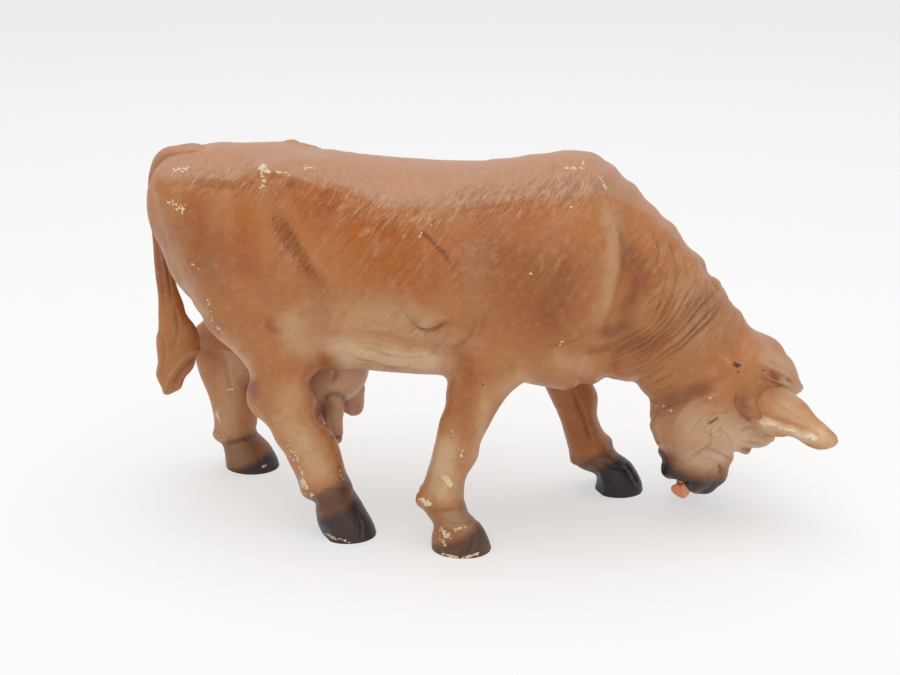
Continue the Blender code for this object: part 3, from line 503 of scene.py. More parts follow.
LEG_STROKES = (
    (1.6, -0.70, (455, 388), (470, 390), (484, 387)),
    (1.4, -0.50, (447, 378), (462, 381), (480, 378)),
    (1.6, -0.40, (452, 402), (466, 405), (480, 403)),
    (3.2, 0.80, (424, 497), (421, 502), (427, 506)),
    (2.6, -0.35, (428, 510), (436, 510), (448, 511), (458, 508)),
    (2.4, -0.40, (436, 493), (433, 500), (434, 507)),
    (2.2, -0.45, (440, 520), (450, 524), (464, 524), (476, 520)),
    (3.0, 0.70, (304, 482), (306, 492), (314, 496)),
    (2.6, -0.35, (318, 500), (324, 494), (334, 489), (348, 488), (354, 490)),
    (3.0, 0.80, (216, 436), (222, 438), (230, 438)),
    (2.4, -0.60, (226, 444), (236, 442), (246, 438), (256, 434)),
    (2.4, -0.45, (574, 466), (584, 464), (596, 458), (608, 452)),
    (1.8, -0.50, (603, 462), (614, 468), (628, 464)),
    (1.8, -0.50, (638, 484), (633, 474), (626, 464)),
    (1.6, -0.50, (466, 556), (472, 546), (474, 536)),
    (1.6, -0.50, (360, 538), (362, 528), (360, 516)),
    (1.6, -0.50, (262, 470), (260, 462), (256, 454)),
    (2.6, -0.60, (264, 378), (272, 392), (284, 402), (296, 406)),
    (3.0, 0.45, (250, 392), (262, 412), (276, 434), (290, 458)),
    (2.2, -0.50, (300, 372), (306, 392), (314, 408)),
    (3.0, -0.45, (222, 350), (228, 372), (232, 396)),
    (3.0, -0.45, (574, 392), (584, 416), (592, 440)),
    (3.0, 0.35, (440, 440), (436, 462), (432, 480)),
    (2.6, -0.35, (466, 420), (462, 440), (456, 466)),
)
PLUG_STROKES = {
    "right_ear": (
        (2.6, 1.10, (758, 421), (772, 425), (787, 430), (804, 436), (817, 441)),
        (2.2, -0.35, (762, 414), (776, 420), (790, 424), (806, 429), (820, 434)),
        (2.0, -0.40, (816, 430), (818, 438), (816, 447)),
        (2.2, 0.40, (822, 430), (830, 438), (828, 447)),
        (2.6, 0.50, (800, 396), (814, 412), (828, 430)),
        (2.0, -0.35, (770, 400), (788, 412), (806, 422)),
    ),
    "tail": (
        (1.8, 0.70, (164, 393), (170, 377), (180, 362), (192, 352), (206, 348)),
        (3.2, -0.80, (172, 388), (180, 374), (192, 362), (202, 356)),
        (1.8, -0.50, (160, 330), (164, 350), (162, 374)),
        (1.8, -0.45, (176, 310), (178, 330), (172, 352)),
        (2.0, -0.50, (186, 308), (194, 324), (196, 340)),
        (1.6, -0.45, (158, 190), (162, 230), (168, 270), (172, 300)),
        (1.6, -0.40, (152, 190), (156, 235), (162, 280), (165, 310)),
    ),
    "udder": (
        (3.0, -0.60, (324, 404), (328, 396), (340, 396), (344, 404)),
        (2.5, -0.50, (344, 396), (347, 410), (346, 424)),
        (3.0, 0.50, (326, 362), (332, 372)),
        (2.0, -0.50, (336, 352), (338, 368), (332, 384)),
        (1.6, -0.60, (331, 436), (337, 438), (342, 436)),
    ),
    "tongue": (
        (1.4, -0.70, (672, 484), (676, 482), (680, 484), (684, 482), (688, 484)),
        (1.2, -0.20, (679, 484), (680, 492), (680, 498)),
    ),
}

# Paint masks: reach in pixels, strength, then places in pixels
PAINT_STROKES = {
    "amber": (
        (22, 1.0, (285, 190), (340, 215), (400, 245), (450, 250)),
        (14, 0.9, (192, 195), (200, 235), (212, 270)),
        (16, 0.9, (245, 195), (248, 250), (262, 285)),
        (20, 0.6, (360, 285), (420, 290)),
        (10, 0.8, (300, 192), (325, 205), (345, 220)),
        (12, 0.7, (500, 222), (545, 215), (568, 228)),
        (12, 0.5, (640, 250), (650, 285)),
        (8, 0.7, (268, 322), (278, 330)),
        (18, 0.4, (300, 360), (290, 390)),
        (24, 0.5, (300, 215), (390, 262), (450, 268)),
    ),
    # Red brown paint of the shoulder, thigh and neck, which also paints shade in grooves, in the hollow at
    # the ear's root and behind the jaw
    "rust": (
        (44, 0.70, (498, 250), (536, 300)),
        (20, 0.5, (566, 262), (552, 318)),
        (8, 0.9, (628, 245), (634, 285), (622, 318)),
        (26, 0.40, (200, 215), (215, 260), (240, 295)),
        (14, 0.45, (620, 340), (650, 345), (676, 335)),
        (12, 0.5, (690, 320), (706, 300)),
        (9, 0.9, (712, 386), (690, 392), (672, 400), (660, 398)),
        (14, 0.7, (575, 400), (585, 440)),
        (10, 0.8, (458, 358), (470, 372)),
        (10, 0.5, (466, 385), (462, 410)),
        (9, 0.35, (272, 215), (292, 245), (318, 285)),
        (10, 0.7, (160, 230), (158, 290)),
        (6, 0.8, (272, 324), (276, 330)),
        (10, 0.6, (205, 340), (225, 350)),
        (6, 0.9, (250, 386), (254, 394)),
        (7, 1.0, (742, 394), (743, 404), (749, 412)),
        (10, 0.5, (766, 384), (790, 392)),
        (12, 0.6, (345, 455), (350, 470)),
        (14, 0.7, (326, 360), (328, 372)),
        (8, 0.7, (326, 402), (324, 412)),
        (12, 0.5, (215, 330), (210, 350)),
    ),
    # Cream paint of belly, cheek, legs and ears, which also paints highlight along the rear edge of the
    # thigh and the lower edge of the belly
    "pale": (
        (10, 1.2, (322, 346), (370, 354), (410, 360), (445, 364)),
        (6, 0.7, (384, 358), (430, 360)),
        (24, 0.5, (330, 318), (400, 322), (440, 338)),
        (16, 0.6, (290, 325), (300, 345)),
        (16, 0.5, (290, 395), (285, 420)),
        (16, 0.7, (300, 440), (318, 470)),
        (16, 0.9, (445, 450), (443, 490)),
        (8, 0.6, (486, 392), (482, 430), (474, 470)),
        (9, 0.8, (452, 520), (466, 524)),
        (10, 0.5, (236, 450), (240, 458)),
        (22, 1.0, (692, 428), (715, 432)),
        (14, 0.9, (740, 437), (764, 440)),
        (14, 0.6, (228, 380), (226, 425)),
        (9, 0.45, (606, 200), (614, 240), (611, 285), (598, 320)),
        (12, 0.4, (580, 365), (560, 362)),
        (24, 0.3, (700, 330), (690, 290)),
        (12, 0.5, (520, 378), (505, 392)),
        (10, 0.6, (345, 350), (352, 375), (346, 390)),
        (9, 0.5, (766, 356), (786, 366)),
        (8, 0.8, (786, 384), (800, 392)),
        (10, 0.7, (692, 460), (716, 461)),
        (5, 0.5, (657, 420), (658, 440)),
        (11, 0.6, (222, 344), (240, 366)),
        (2.5, 0.5, (152, 178), (160, 215), (172, 255), (190, 292), (215, 327)),
    ),
    # Painted sheen: a pale pinkish tone laid on ridges and faces that catch the light
    "mauve": (
        (34, 0.45, (690, 420), (740, 430)),
        (20, 0.45, (756, 346), (784, 376)),
        (9, 0.6, (156, 190), (166, 235), (184, 280), (210, 322)),
        (8, 0.35, (212, 205), (212, 255), (228, 292)),
        (6, 0.9, (152, 190), (160, 225), (176, 265), (200, 305)),
        (8, 0.2, (556, 225), (554, 305)),
        (10, 0.3, (478, 250), (474, 310)),
        (7, 0.7, (440, 340), (480, 345)),
        (10, 0.4, (612, 215), (618, 260)),
        (8, 0.25, (252, 262), (262, 292)),
        (10, 0.6, (310, 306), (306, 330)),
        (12, 0.5, (330, 345), (345, 360)),
    ),
    # Painted shade in pockets, grooves, creases and behind the jaw, and also a scratch and darker tone over
    # the rump and the pasterns
    "shade": (
        (6, 0.6, (600, 333), (616, 331), (632, 322)),
        (7, 0.45, (638, 250), (641, 284), (630, 312)),
        (6, 0.10, (272, 215), (287, 242), (304, 266), (322, 290)),
        (5.0, 0.45, (585, 351), (598, 350), (610, 345)),
        (8, 0.40, (664, 404), (690, 393), (716, 384)),
        (3, 0.5, (618, 228), (625, 250), (624, 276)),
        (1.5, 1.8, (423, 231), (432, 242), (441, 250), (451, 262)),
        (1.8, 1.0, (742, 450), (752, 451.5), (762, 451)),
        (4, 0.3, (739, 396), (742, 408)),
        (2.0, 0.3, (771, 372), (775, 376), (779, 380)),
        (1.6, 0.25, (788, 379), (791, 381)),
        (26, 0.22, (202, 205), (215, 262)),
        (18, 0.16, (292, 200), (320, 206)),
        (12, 0.25, (612, 338), (634, 322)),
        (14, 0.35, (438, 518), (468, 516)),
        (10, 0.35, (322, 506), (350, 500)),
        (5, 0.7, (250, 388), (256, 384)),
        (3.0, 0.6, (322, 404), (324, 420)),
        (2.2, 0.8, (332, 437), (340, 437)),
        (2.5, 0.6, (340, 468), (342, 474)),
        (1.3, 0.8, (387, 376), (394, 378), (408, 377)),
        (2.4, 0.8, (226, 444), (240, 441), (254, 436)),
        (2.2, 0.3, (326, 492), (346, 489)),
        (2.2, 0.3, (430, 510), (452, 509)),
    ),
    "stain": (
        (3.4, 1.0, (735, 365), (738, 366)),
        (2.0, 0.8, (736, 372), (737, 373)),
        (2.2, 0.8, (763, 364), (764, 372)),
        (1.4, 1.0, (395, 314.5), (397, 315)),
        (1.8, 0.9, (480, 382), (482, 386)),
        (1.6, 0.8, (387, 376), (398, 378)),
    ),
    "worn": (
        (1.8, 1.1, (262, 164), (267, 170)),
        (4, 1.0, (176, 170), (188, 170)),
        (5, 1.0, (172, 200), (184, 210)),
        (4.0, 0.85, (261, 168), (264, 186)),
        (2.5, 0.7, (266, 171), (290, 174)),
        (2.0, 0.9, (305, 167), (316, 168)),
        (2.0, 0.9, (193, 262), (200, 270)),
        (2.4, 0.8, (207, 288), (212, 318), (218, 330), (233, 335)),
        (2.5, 1.1, (567, 169), (575, 169)),
        (2.0, 1.0, (580, 155), (582, 164), (581, 174)),
        (2.5, 0.9, (600, 174), (602, 182), (607, 192)),
        (2.2, 1.0, (572, 207), (576, 208)),
        (1.6, 1.1, (531, 274), (534, 273)),
        (1.6, 1.1, (418, 240), (422, 234), (425, 231)),
        (1.4, 1.0, (428, 228), (431, 227)),
        (1.2, 1.1, (560, 347), (562, 340)),
        (2.4, 1.0, (451, 430), (453, 434)),
        (3.0, 1.0, (462, 448), (463, 456)),
        (3.0, 0.8, (446, 478), (450, 486)),
        (3.0, 1.0, (441, 476), (452, 484)),
        (3.4, 1.4, (421, 500), (428, 504)),
        (5, 0.7, (284, 432), (300, 470), (306, 484)),
        (5, 0.7, (298, 478), (312, 494), (318, 492)),
        (2.2, 0.7, (340, 470), (346, 480)),
        (2.6, 1.1, (230, 388.5), (232, 388)),
        (2.2, 1.0, (218, 410), (219, 425)),
        (5, 0.6, (213, 436), (228, 438)),
        (3.6, 1.1, (440, 527), (445, 535), (451, 540)),
        (2.6, 1.0, (441, 540), (445, 546)),
        (2.6, 1.0, (450, 532), (460, 529), (468, 526)),
        (1.6, 1.0, (322, 531), (336, 539), (352, 542)),
        (2.4, 1.2, (440, 552), (450, 556), (468, 557), (482, 552)),
        (2.0, 0.8, (258, 467), (266, 465)),
        (1.2, 1.2, (709, 398), (711, 397)),
        (1.6, 0.8, (668, 409), (671, 412)),
        (1.0, 1.0, (688, 459), (690, 457)),
        (1.6, 0.6, (352, 360), (385, 368), (420, 367)),
    ),
    # Strength of the moulded hair, along whose strands shade and highlight are also painted
    "hair": (
        (16, 0.75, (175, 180), (230, 182), (290, 184)),
        (20, 1.00, (300, 190), (345, 202), (400, 220), (450, 216)),
        (18, 1.00, (450, 202), (500, 200), (560, 192), (596, 180)),
        (30, 0.35, (350, 250), (440, 270)),
        (26, 0.35, (500, 260), (560, 270)),
        (26, 0.55, (640, 250), (660, 290), (680, 320)),
        (20, 0.55, (700, 290), (716, 320)),
        (18, 0.45, (400, 325), (440, 340)),
        (14, 0.40, (278, 225), (300, 265)),
        (10, 0.60, (700, 425), (716, 430)),
    ),
}
# Paint of the ears alone, with a little painted sheen on the leaf
EAR_PAINT_STROKES = {
    "pale": (
        (14, 0.6, (772, 402), (800, 416), (828, 438)),
        (4.2, 1.6, (757, 420), (772, 425), (787, 431), (804, 437), (818, 442)),
        (10, 0.7, (822, 438), (832, 446)),
    ),
    "mauve": ((16, 0.12, (776, 404), (816, 430)),),
    "amber": ((12, 0.45, (768, 404), (790, 414), (806, 424)),),
    "worn": (
        (2.6, 1.25, (756, 420), (764, 424), (774, 426)),
        (2.2, 1.20, (774, 426), (788, 431), (806, 437), (816, 441)),
        (2.8, 1.20, (810, 436), (816, 439)),
        (2.0, 0.60, (828, 448), (837, 442)),
    ),
}
# How much higher the dark paint reaches at a hoof's toe than at its heel, as a share of hoof_height
TOE_SHARE = 0.7
# Lower edge of the cheek's pale paint, over the black muzzle: pixels along the figure and down it
MUZZLE_EDGE = ((650, 454), (662, 461), (675, 465), (690, 470), (705, 475), (716, 475), (730, 472))
MUZZLE_FADE = 20.0
MUZZLE_STRENGTH = 0.88
# Most that a paint's strokes add up to
PAINT_LIMIT = 1.2
# Hoof paint: its upper edge and its fade as shares of hoof_height, its strength, then the same of the thin
# paint above it
HOOF_PAINT = {
    "front_right_leg": (0.62, 0.45, 0.66, 1.50, 0.8, 0.32),
    "front_left_leg": (1.15, 0.50, 1.00, 1.60, 0.5, 0.60),
    "rear_right_leg": (1.15, 0.80, 0.88, 1.75, 0.5, 0.60),
    "rear_left_leg": (0.40, 0.55, 0.85, 1.25, 0.5, 0.50),
}
# Upper edge of the flank, where the back turns over and its painted sheen begins: pixels along the figure
# and down the photograph
BACK_EDGE = (
    (140, 172), (170, 180), (200, 182), (235, 178), (262, 168), (300, 176), (345, 188), (380, 204),
    (420, 210), (460, 206), (500, 200), (545, 198), (585, 196), (610, 196), (640, 208), (700, 262),
)
BACK_FADE = 6.0
# Least strength of the hair
BARE_HAIR = 0.12
# Slope of the hair, and how far its lines drift over how long a way
HAIR_ANGLE = 55
HAIR_DRIFT = 2.2 * MILLIMETRE, 14 * MILLIMETRE
# Length of the hair's noise across it, along it and across the figure, and its height over hair_depth
HAIR_GRAINS = 0.9 * MILLIMETRE, 5 * MILLIMETRE, 3 * MILLIMETRE
HAIR_HEIGHT = 5
# Grain of the unevenness of the casting and of the plugs
UNEVEN_GRAIN = 3.5 * MILLIMETRE
PLUG_UNEVEN_GRAIN = 1.5 * MILLIMETRE

# The coat's clouds, mottle and specks: noise scale per metre, detail and roughness
COAT_NOISES = (150, 3.0, 0.6), (700, 3.0, 0.65), (1900, 2.0, 0.5)
# Long and short strands: scale across the hair, along it and across the figure, then where they begin and
# are whole
STRAND_NOISES = ((1200, 150, 300), 0.38, 0.62), ((3000, 420, 800), 0.36, 0.64)
# Tones laid over the coat's ground in turn, and how well each covers: amber, then red brown that is also
# painted shade, then cream that is also painted highlight
COAT_TONES = ("amber", 0.9), ("rust", 0.85), ("pale", 0.9)
COAT_BUMP = 0.22 * MILLIMETRE
# The clouds and mottle of the udder and the tongue
SOFT_NOISES = (260, 3.0, 0.6), (1100, 3.0, 0.6)
# Red brown that is also painted shade, and painted shade, laid over the udder and the tongue
SOFT_TONES = ("rust", 0.7), ("shade", 0.7)
SOFT_BUMP = 0.15 * MILLIMETRE

# Table and backdrop: half width, place of the front edge, of the rising curve, its radius and its height
TABLE = (2.5, -2.5, 0.75, 0.5, 1.6)
CURVE_POINTS = 24
# Rays that see the stage's own white
DIRECT_RAYS = "Is Camera Ray", "Is Glossy Ray", "Is Transmission Ray"
# Lamps: width, and place from the point that the camera looks at
SOFT_BOX = 0.5, (0.0, -0.03, 0.55)
FILL_LAMP = 0.4, (0.15, -0.6, 0.30)


# Settings

def length(name, text, default):
    """A length setting."""
    return FloatProperty(name=name, description=text, default=default, unit="LENGTH", precision=5)


def slope(name, text, default):
    """An angle setting."""
    return FloatProperty(name=name, description=text + ", in degrees", default=default)


def share(name, text, default):
    """A setting from 0 to 1."""
    return FloatProperty(name=name, description=text, default=default, min=0, max=1, subtype="FACTOR")


def colour(name, text, red, green, blue):
    """A colour setting whose default is written as it shows on a screen, from 0 to 255."""
    shown = np.array((red, green, blue)) / 255
    linear = np.where(shown > 0.04045, ((shown + 0.055) / 1.055) ** 2.4, shown / 12.92)
    return FloatVectorProperty(name=name, description=text, default=linear.tolist(), size=3, min=0, max=1,
                               subtype="COLOR")


class CowSizes(bpy.types.PropertyGroup):
    """The figure's driving lengths and angles."""

    body_length: length("Body length", "Length that places along the figure are shares of", 0.100)
    withers_height: length("Withers height", "Height of the back over the front legs", 0.072)
    barrel_width: length("Barrel width", "Width of the trunk", 0.040)
    neck_depth: length("Neck depth", "Depth of the neck at the shoulder", 0.036)
    neck_width: length("Neck width", "Width of the neck at the shoulder", 0.024)
    head_length: length("Head length", "From the poll to the muzzle", 0.031)
    head_depth: length("Head depth", "From the forehead to the jaw", 0.019)
    head_width: length("Head width", "Across the cheeks", 0.016)
    head_swing: length("Head swing", "How far the head is carried to the left", 0.0140)
    head_back_angle: slope("Head back angle", "Tilt of the muzzle back towards the legs", 22)
    head_sway_angle: slope("Head sway angle", "Tilt of the muzzle to the left", 11)
    head_twist_angle: slope("Head twist angle", "Turn of the forehead to the left", 45)
    ear_length: length("Ear length", "From the root to the tip", 0.0200)
    ear_width: length("Ear width", "Width of the leaf", 0.0094)
    ear_thickness: length("Ear thickness", "Thickness of the leaf", 0.0018)
    ear_hollow: length("Ear hollow", "Depth of the leaf's hollow", 0.0012)
    tongue_length: length("Tongue length", "From the root to the tip", 0.0080)
    tongue_width: length("Tongue width", "Width of the tongue", 0.0034)
    tongue_thickness: length("Tongue thickness", "Thickness of the tongue", 0.0020)
    tail_thickness: length("Tail thickness", "Thickness of the tail above its tuft", 0.0034)
    tuft_width: length("Tuft width", "Width of the tail's tuft", 0.0086)
    udder_length: length("Udder length", "Length of the bag", 0.0165)
    udder_width: length("Udder width", "Width of the bag", 0.0150)
    teat_length: length("Teat length", "Length of a rear teat", 0.0085)
    teat_diameter: length("Teat diameter", "Diameter of a rear teat", 0.0042)
    leg_depth: length("Leg depth", "Depth that leg girths are shares of", 0.0100)
    leg_width: length("Leg width", "Width that leg girths are shares of", 0.0090)
    track: length("Track", "Between the paths of the left and right legs", 0.028)
    hoof_length: length("Hoof length", "Length of a hoof", 0.0108)
    hoof_width: length("Hoof width", "Width of a hoof", 0.0090)
    hoof_height: length("Hoof height", "Height of a hoof", 0.0072)
    relief: length("Relief", "Height that bones and muscles are shares of", 0.0012)
    stroke_depth: length("Stroke depth", "Depth that sculpted strokes are shares of", 0.0008)
    hair_depth: length("Hair depth", "Depth of the modelled hair", 0.00010)
    grain: length("Grain", "Face size of the casting", 0.00058)
    plug_grain: length("Plug grain", "Face size of the ears, the tail and the udder", 0.00022)
    tongue_grain: length("Tongue grain", "Face size of the tongue", 0.00010)


class CowPaint(bpy.types.PropertyGroup):
    """The colours of the hand-painted coat, with its painted sheen, highlight and shade."""

    tan: colour("Tan", "Ground colour of the coat", 179, 120, 70)
    amber: colour("Amber", "Orange brown of the upper flank and thigh", 174, 95, 30)
    # Red brown paint, also used as painted shade in creases and hollows
    rust: colour("Rust", "Red brown of the shoulder and creases", 146, 74, 28)
    # Cream paint, also used as painted highlight on edges and ridges
    pale: colour("Pale", "Cream tan of belly, cheek and shins", 212, 176, 136)
    # Painted sheen, laid over the top of the back and over ridges that catch the light
    mauve: colour("Mauve", "Pinkish tone of the back", 184, 138, 108)
    shade: colour("Shade", "Dark brown of creases and pockets", 104, 56, 30)
    dark: colour("Dark", "Black brown of hooves and muzzle", 46, 40, 40)
    stain: colour("Stain", "Purple brown of small stains", 78, 44, 48)
    bare: colour("Bare", "Cream plastic under worn paint", 226, 204, 172)
    udder: colour("Udder", "Pinkish cream of the udder", 206, 160, 128)
    tongue: colour("Tongue", "Orange pink of the tongue", 250, 166, 120)
    roughness: share("Roughness", "Roughness of the paint", 0.38)


class StudioSettings(bpy.types.PropertyGroup):
    """The camera, the table and the lights."""

    azimuth: slope("Azimuth", "Turn of the camera from the figure's right side towards its head", 9.5)
    elevation: slope("Elevation", "Camera angle over the table", 20)
    distance: length("Distance", "From the camera to the point it looks at", 0.300)
    aim: length("Aim", "Height of the point that the camera looks at", 0.036)
    focal: FloatProperty(name="Focal length", description="Focal length in pixels", default=1617)
    floor: colour("Floor", "Colour of the table and backdrop", 249, 249, 249)
    glow: share("Glow", "Share of the table's white that shadows don't reach", 0.50)
    world_light: FloatProperty(name="World light", description="Strength of the room's light", default=0.62)
    top_light: FloatProperty(name="Top light", description="Power of the soft box overhead, in watts",
                             default=1.6)
    front_light: FloatProperty(name="Front light", description="Power of the fill by the camera, in watts",
                               default=0.36)


# Lofts

def smooth_rows(rows, steps):
    """Rows of a table joined by Catmull-Rom curves, with steps rows for each of the table's gaps."""
    rows = np.array(rows, float)
    ends = np.vstack([2 * rows[:1] - rows[1:2], rows, 2 * rows[-1:] - rows[-2:-1]])
    t = np.linspace(0, 1, steps, endpoint=False)[None, :, None]
    a, b, c, d = (ends[i:len(ends) - 3 + i, None, :] for i in range(4))
    curve = 2 * b + (c - a) * t + (2 * a - 5 * b + 4 * c - d) * t ** 2 + (3 * b - a - 3 * c + d) * t ** 3
    return np.vstack([curve.reshape(-1, rows.shape[1]) / 2, rows[-1:]])


def unit(vectors):
    """Vectors along the last axis, scaled to length 1."""
    vectors = np.asarray(vectors, float)
    return vectors / np.linalg.norm(vectors, axis=-1, keepdims=True)


def rings_along(centres, upward, over, under, wide, power=2.0, bend=0.0, sides=RING_SIDES):
    """Superellipse rings square to a line of centres, wide across, reaching over and under along upward.

    With c and s the cosine and sine of the way round, each raised to 2 / power, a point lies wide * c
    across, and over * s - bend * c * c upward.
    """
    along = unit(np.gradient(centres, axis=0))
    upward = np.broadcast_to(np.array(upward, float), centres.shape)
    rise = unit(upward - np.sum(upward * along, axis=1, keepdims=True) * along)
    side = np.cross(rise, along)
    t = np.linspace(0, 2 * math.pi, sides, endpoint=False)
    across = np.sign(np.cos(t)) * np.abs(np.cos(t)) ** (2 / power)
    height = np.sign(np.sin(t)) * np.abs(np.sin(t)) ** (2 / power)
    reach = np.where(height > 0, np.outer(over, height), np.outer(under, height))
    reach = reach - np.outer(np.broadcast_to(bend, len(centres)), across ** 2)
    return (centres[:, None, :] + side[:, None, :] * np.outer(wide, across)[:, :, None]
            + rise[:, None, :] * reach[:, :, None])


def skins(name, forms):
    """One mesh with a closed skin for each form: quads between its rings and a cap on each end ring."""
    points, faces, start = [], [], 0
    for rings in forms:
        rows, sides = rings.shape[:2]
        index = start + np.arange(rows * sides).reshape(rows, sides)
        ahead = np.roll(index, -1, axis=1)
        quads = np.stack([index[:-1], ahead[:-1], ahead[1:], index[1:]], axis=-1)
        faces += quads.reshape(-1, 4).tolist() + [index[0, ::-1].tolist(), index[-1].tolist()]
        points.append(rings.reshape(-1, 3))
        start += rows * sides
    mesh = bpy.data.meshes.new(name)
    mesh.from_pydata(np.vstack(points).tolist(), [], faces)
    return mesh


# Forms of the casting

def trunk_rings(size):
    """Rings along the trunk, all upright."""
    scale = size.body_length, size.withers_height, size.withers_height, size.barrel_width
    rows = smooth_rows(TRUNK_SHARES, LOFT_STEPS) * scale
    middle = (rows[:, 1] + rows[:, 2]) / 2
    half = (rows[:, 1] - rows[:, 2]) / 2
    centres = np.column_stack([rows[:, 0], 0 * middle, middle])
    rings = rings_along(centres, (0, 0, 1), half, half, rows[:, 3], TRUNK_POWER)
    rings[:, :, 0] = centres[:, None, 0]
    return rings


def neck_rows(size):
    """The neck's rows as lengths."""
    scale = (size.body_length, size.head_swing, size.withers_height, size.neck_depth, size.neck_depth,
             size.neck_width)
    return smooth_rows(NECK_SHARES, LOFT_STEPS) * scale


def neck_rings(size):
    """Elliptical rings square to the neck's curve, deeper under it than over it."""
    rows = neck_rows(size)
    return rings_along(rows[:, :3], (0, 0, 1), rows[:, 3], rows[:, 4], rows[:, 5])


def neck_place(size, shares):
    """A place from its shares of body_length, head_swing and withers_height."""
    return np.array(shares) * (size.body_length, size.head_swing, size.withers_height)


def head_frame(size):
    """Directions to the muzzle, to the forehead and to the right side of the head."""
    angles = size.head_back_angle, size.head_sway_angle, size.head_twist_angle
    back, sway, twist = (math.radians(a) for a in angles)
    muzzle = unit((-math.tan(back), math.tan(sway), -1))
    right = unit(np.array((0, -1, 0)) + muzzle[1] * muzzle)
    front = np.cross(right, muzzle)
    return (muzzle, math.cos(twist) * front - math.sin(twist) * right,
            math.cos(twist) * right + math.sin(twist) * front)


def head_place(size, along, rise, aside):
    """A place on the head, towards the muzzle, the forehead and the right side, from its shares."""
    shares = np.array((along * size.head_length, rise * size.head_depth, aside * size.head_width))
    return neck_place(size, HEAD_PLACE_SHARES) + shares @ np.array(head_frame(size))


def head_rings(size):
    """Rings square to a line from the poll to the muzzle, turned with the forehead."""
    scale = size.head_length, size.head_depth, size.head_depth, size.head_depth, size.head_width
    rows = smooth_rows(HEAD_SHARES, LOFT_STEPS) * scale
    muzzle, front, _ = head_frame(size)
    centres = neck_place(size, HEAD_PLACE_SHARES) + rows[:, :1] * muzzle + rows[:, 1:2] * front
    return rings_along(centres, front, rows[:, 2], rows[:, 3], rows[:, 4], HEAD_POWER)


def leg_path(size, name):
    """A leg's path as places, from inside the body to the fetlock."""
    return np.array(LEG_PATH_SHARES[name]) * (size.body_length, size.track, size.withers_height)


def hoof_place(size, name):
    """The middle of a hoof's sole."""
    aside = np.array(HOOF_PLACE_SHARES[name]) * (size.hoof_length, size.hoof_width)
    return np.array((*(leg_path(size, name)[-1, :2] + aside), 0))


def leg_rings(size, name):
    """Elliptical rings square to a leg's path, deeper before it or behind it."""
    girths = FRONT_GIRTH_SHARES if name.startswith("front") else REAR_GIRTH_SHARES
    girths = np.array(girths) * (size.leg_depth, size.leg_depth, size.leg_width)
    rows = smooth_rows(np.hstack([leg_path(size, name), girths]), LOFT_STEPS)
    return rings_along(rows[:, :3], (1, 0, 0), rows[:, 3], rows[:, 4], rows[:, 5])


def hoof_rings(size, name):
    """Level elliptical rings from a hoof's coronet to under its sole, set back as they rise."""
    scale = size.hoof_length, size.hoof_height, size.hoof_length, size.hoof_length, size.hoof_width
    rows = smooth_rows(HOOF_SHARES, LOFT_STEPS) * scale
    centres = hoof_place(size, name) + np.column_stack([rows[:, 0], 0 * rows[:, 0], rows[:, 1]])
    rings = rings_along(centres, (1, 0, 0), rows[:, 2], rows[:, 3], rows[:, 4])
    rings[:, :, 2] = centres[:, None, 2]
    return rings


def dewclaw_forms(size, name):
    """Two small balls behind the fetlock: rings at the sine of a turn, as wide as its cosine."""
    behind, aside, long, high, wide = DEWCLAW_SHARES
    path = leg_path(size, name)
    turns = np.linspace(-1, 1, DEWCLAW_RINGS) * math.pi / 2
    forms = []
    for side in (-1, 1):
        rise = DEWCLAW_HEIGHT_SHARES[name] * size.hoof_height
        middle = hoof_place(size, name) + (0, side * aside * size.hoof_width, rise)
        middle[0] = np.interp(-middle[2], -path[:, 2], path[:, 0]) + behind * size.hoof_length
        line = middle + np.outer(np.sin(turns) * high * size.hoof_length, (0, 0, -1))
        swell = np.cos(turns) * size.hoof_length
        forms.append(rings_along(line, (1, 0, 0), swell * long, swell * long, swell * wide,
                                 sides=DEWCLAW_SIDES))
    return forms


# Forms of the plugs

def ear_rings(size, name):
    """Thin elliptical rings from an ear's root to its tip, bent into a leaf by its hollow."""
    root, tip, back = EAR_PLACE_SHARES[name]
    scale = size.ear_length, size.ear_width, size.ear_thickness, size.ear_hollow
    rows = smooth_rows(EAR_SHARES, LOFT_STEPS) * scale
    centres = head_place(size, *root) + rows[:, :1] * unit(tip)
    return rings_along(centres, back, rows[:, 2], rows[:, 2], rows[:, 1], bend=rows[:, 3], sides=PLUG_SIDES)


def tongue_rings(size):
    """Flat elliptical rings straight from the tongue's root to its tip."""
    scale = size.tongue_length, size.tongue_thickness, size.tongue_width
    rows = smooth_rows(TONGUE_SHARES, LOFT_STEPS) * scale
    way = unit(TONGUE_DIRECTION)
    centres = head_place(size, *TONGUE_TIP_SHARES) + (rows[:, :1] - size.tongue_length) * way
    _, front, _ = head_frame(size)
    return rings_along(centres, front, rows[:, 1], rows[:, 1], rows[:, 2], sides=PLUG_SIDES)


def tail_rings(size):
    """Elliptical rings square to the curve of the tail and its tuft."""
    place = size.body_length, size.track, size.withers_height
    tail = np.array(TAIL_SHARES) * (*place, size.tail_thickness, size.tail_thickness)
    tuft = np.array(TUFT_SHARES) * (*place, size.tuft_width, size.tuft_width)
    rows = smooth_rows(np.vstack([tail, tuft]), LOFT_STEPS)
    back = np.cross(np.gradient(rows[:, :3], axis=0), (0, 1, 0))
    return rings_along(rows[:, :3], back, rows[:, 3], rows[:, 3], rows[:, 4], sides=PLUG_SIDES)


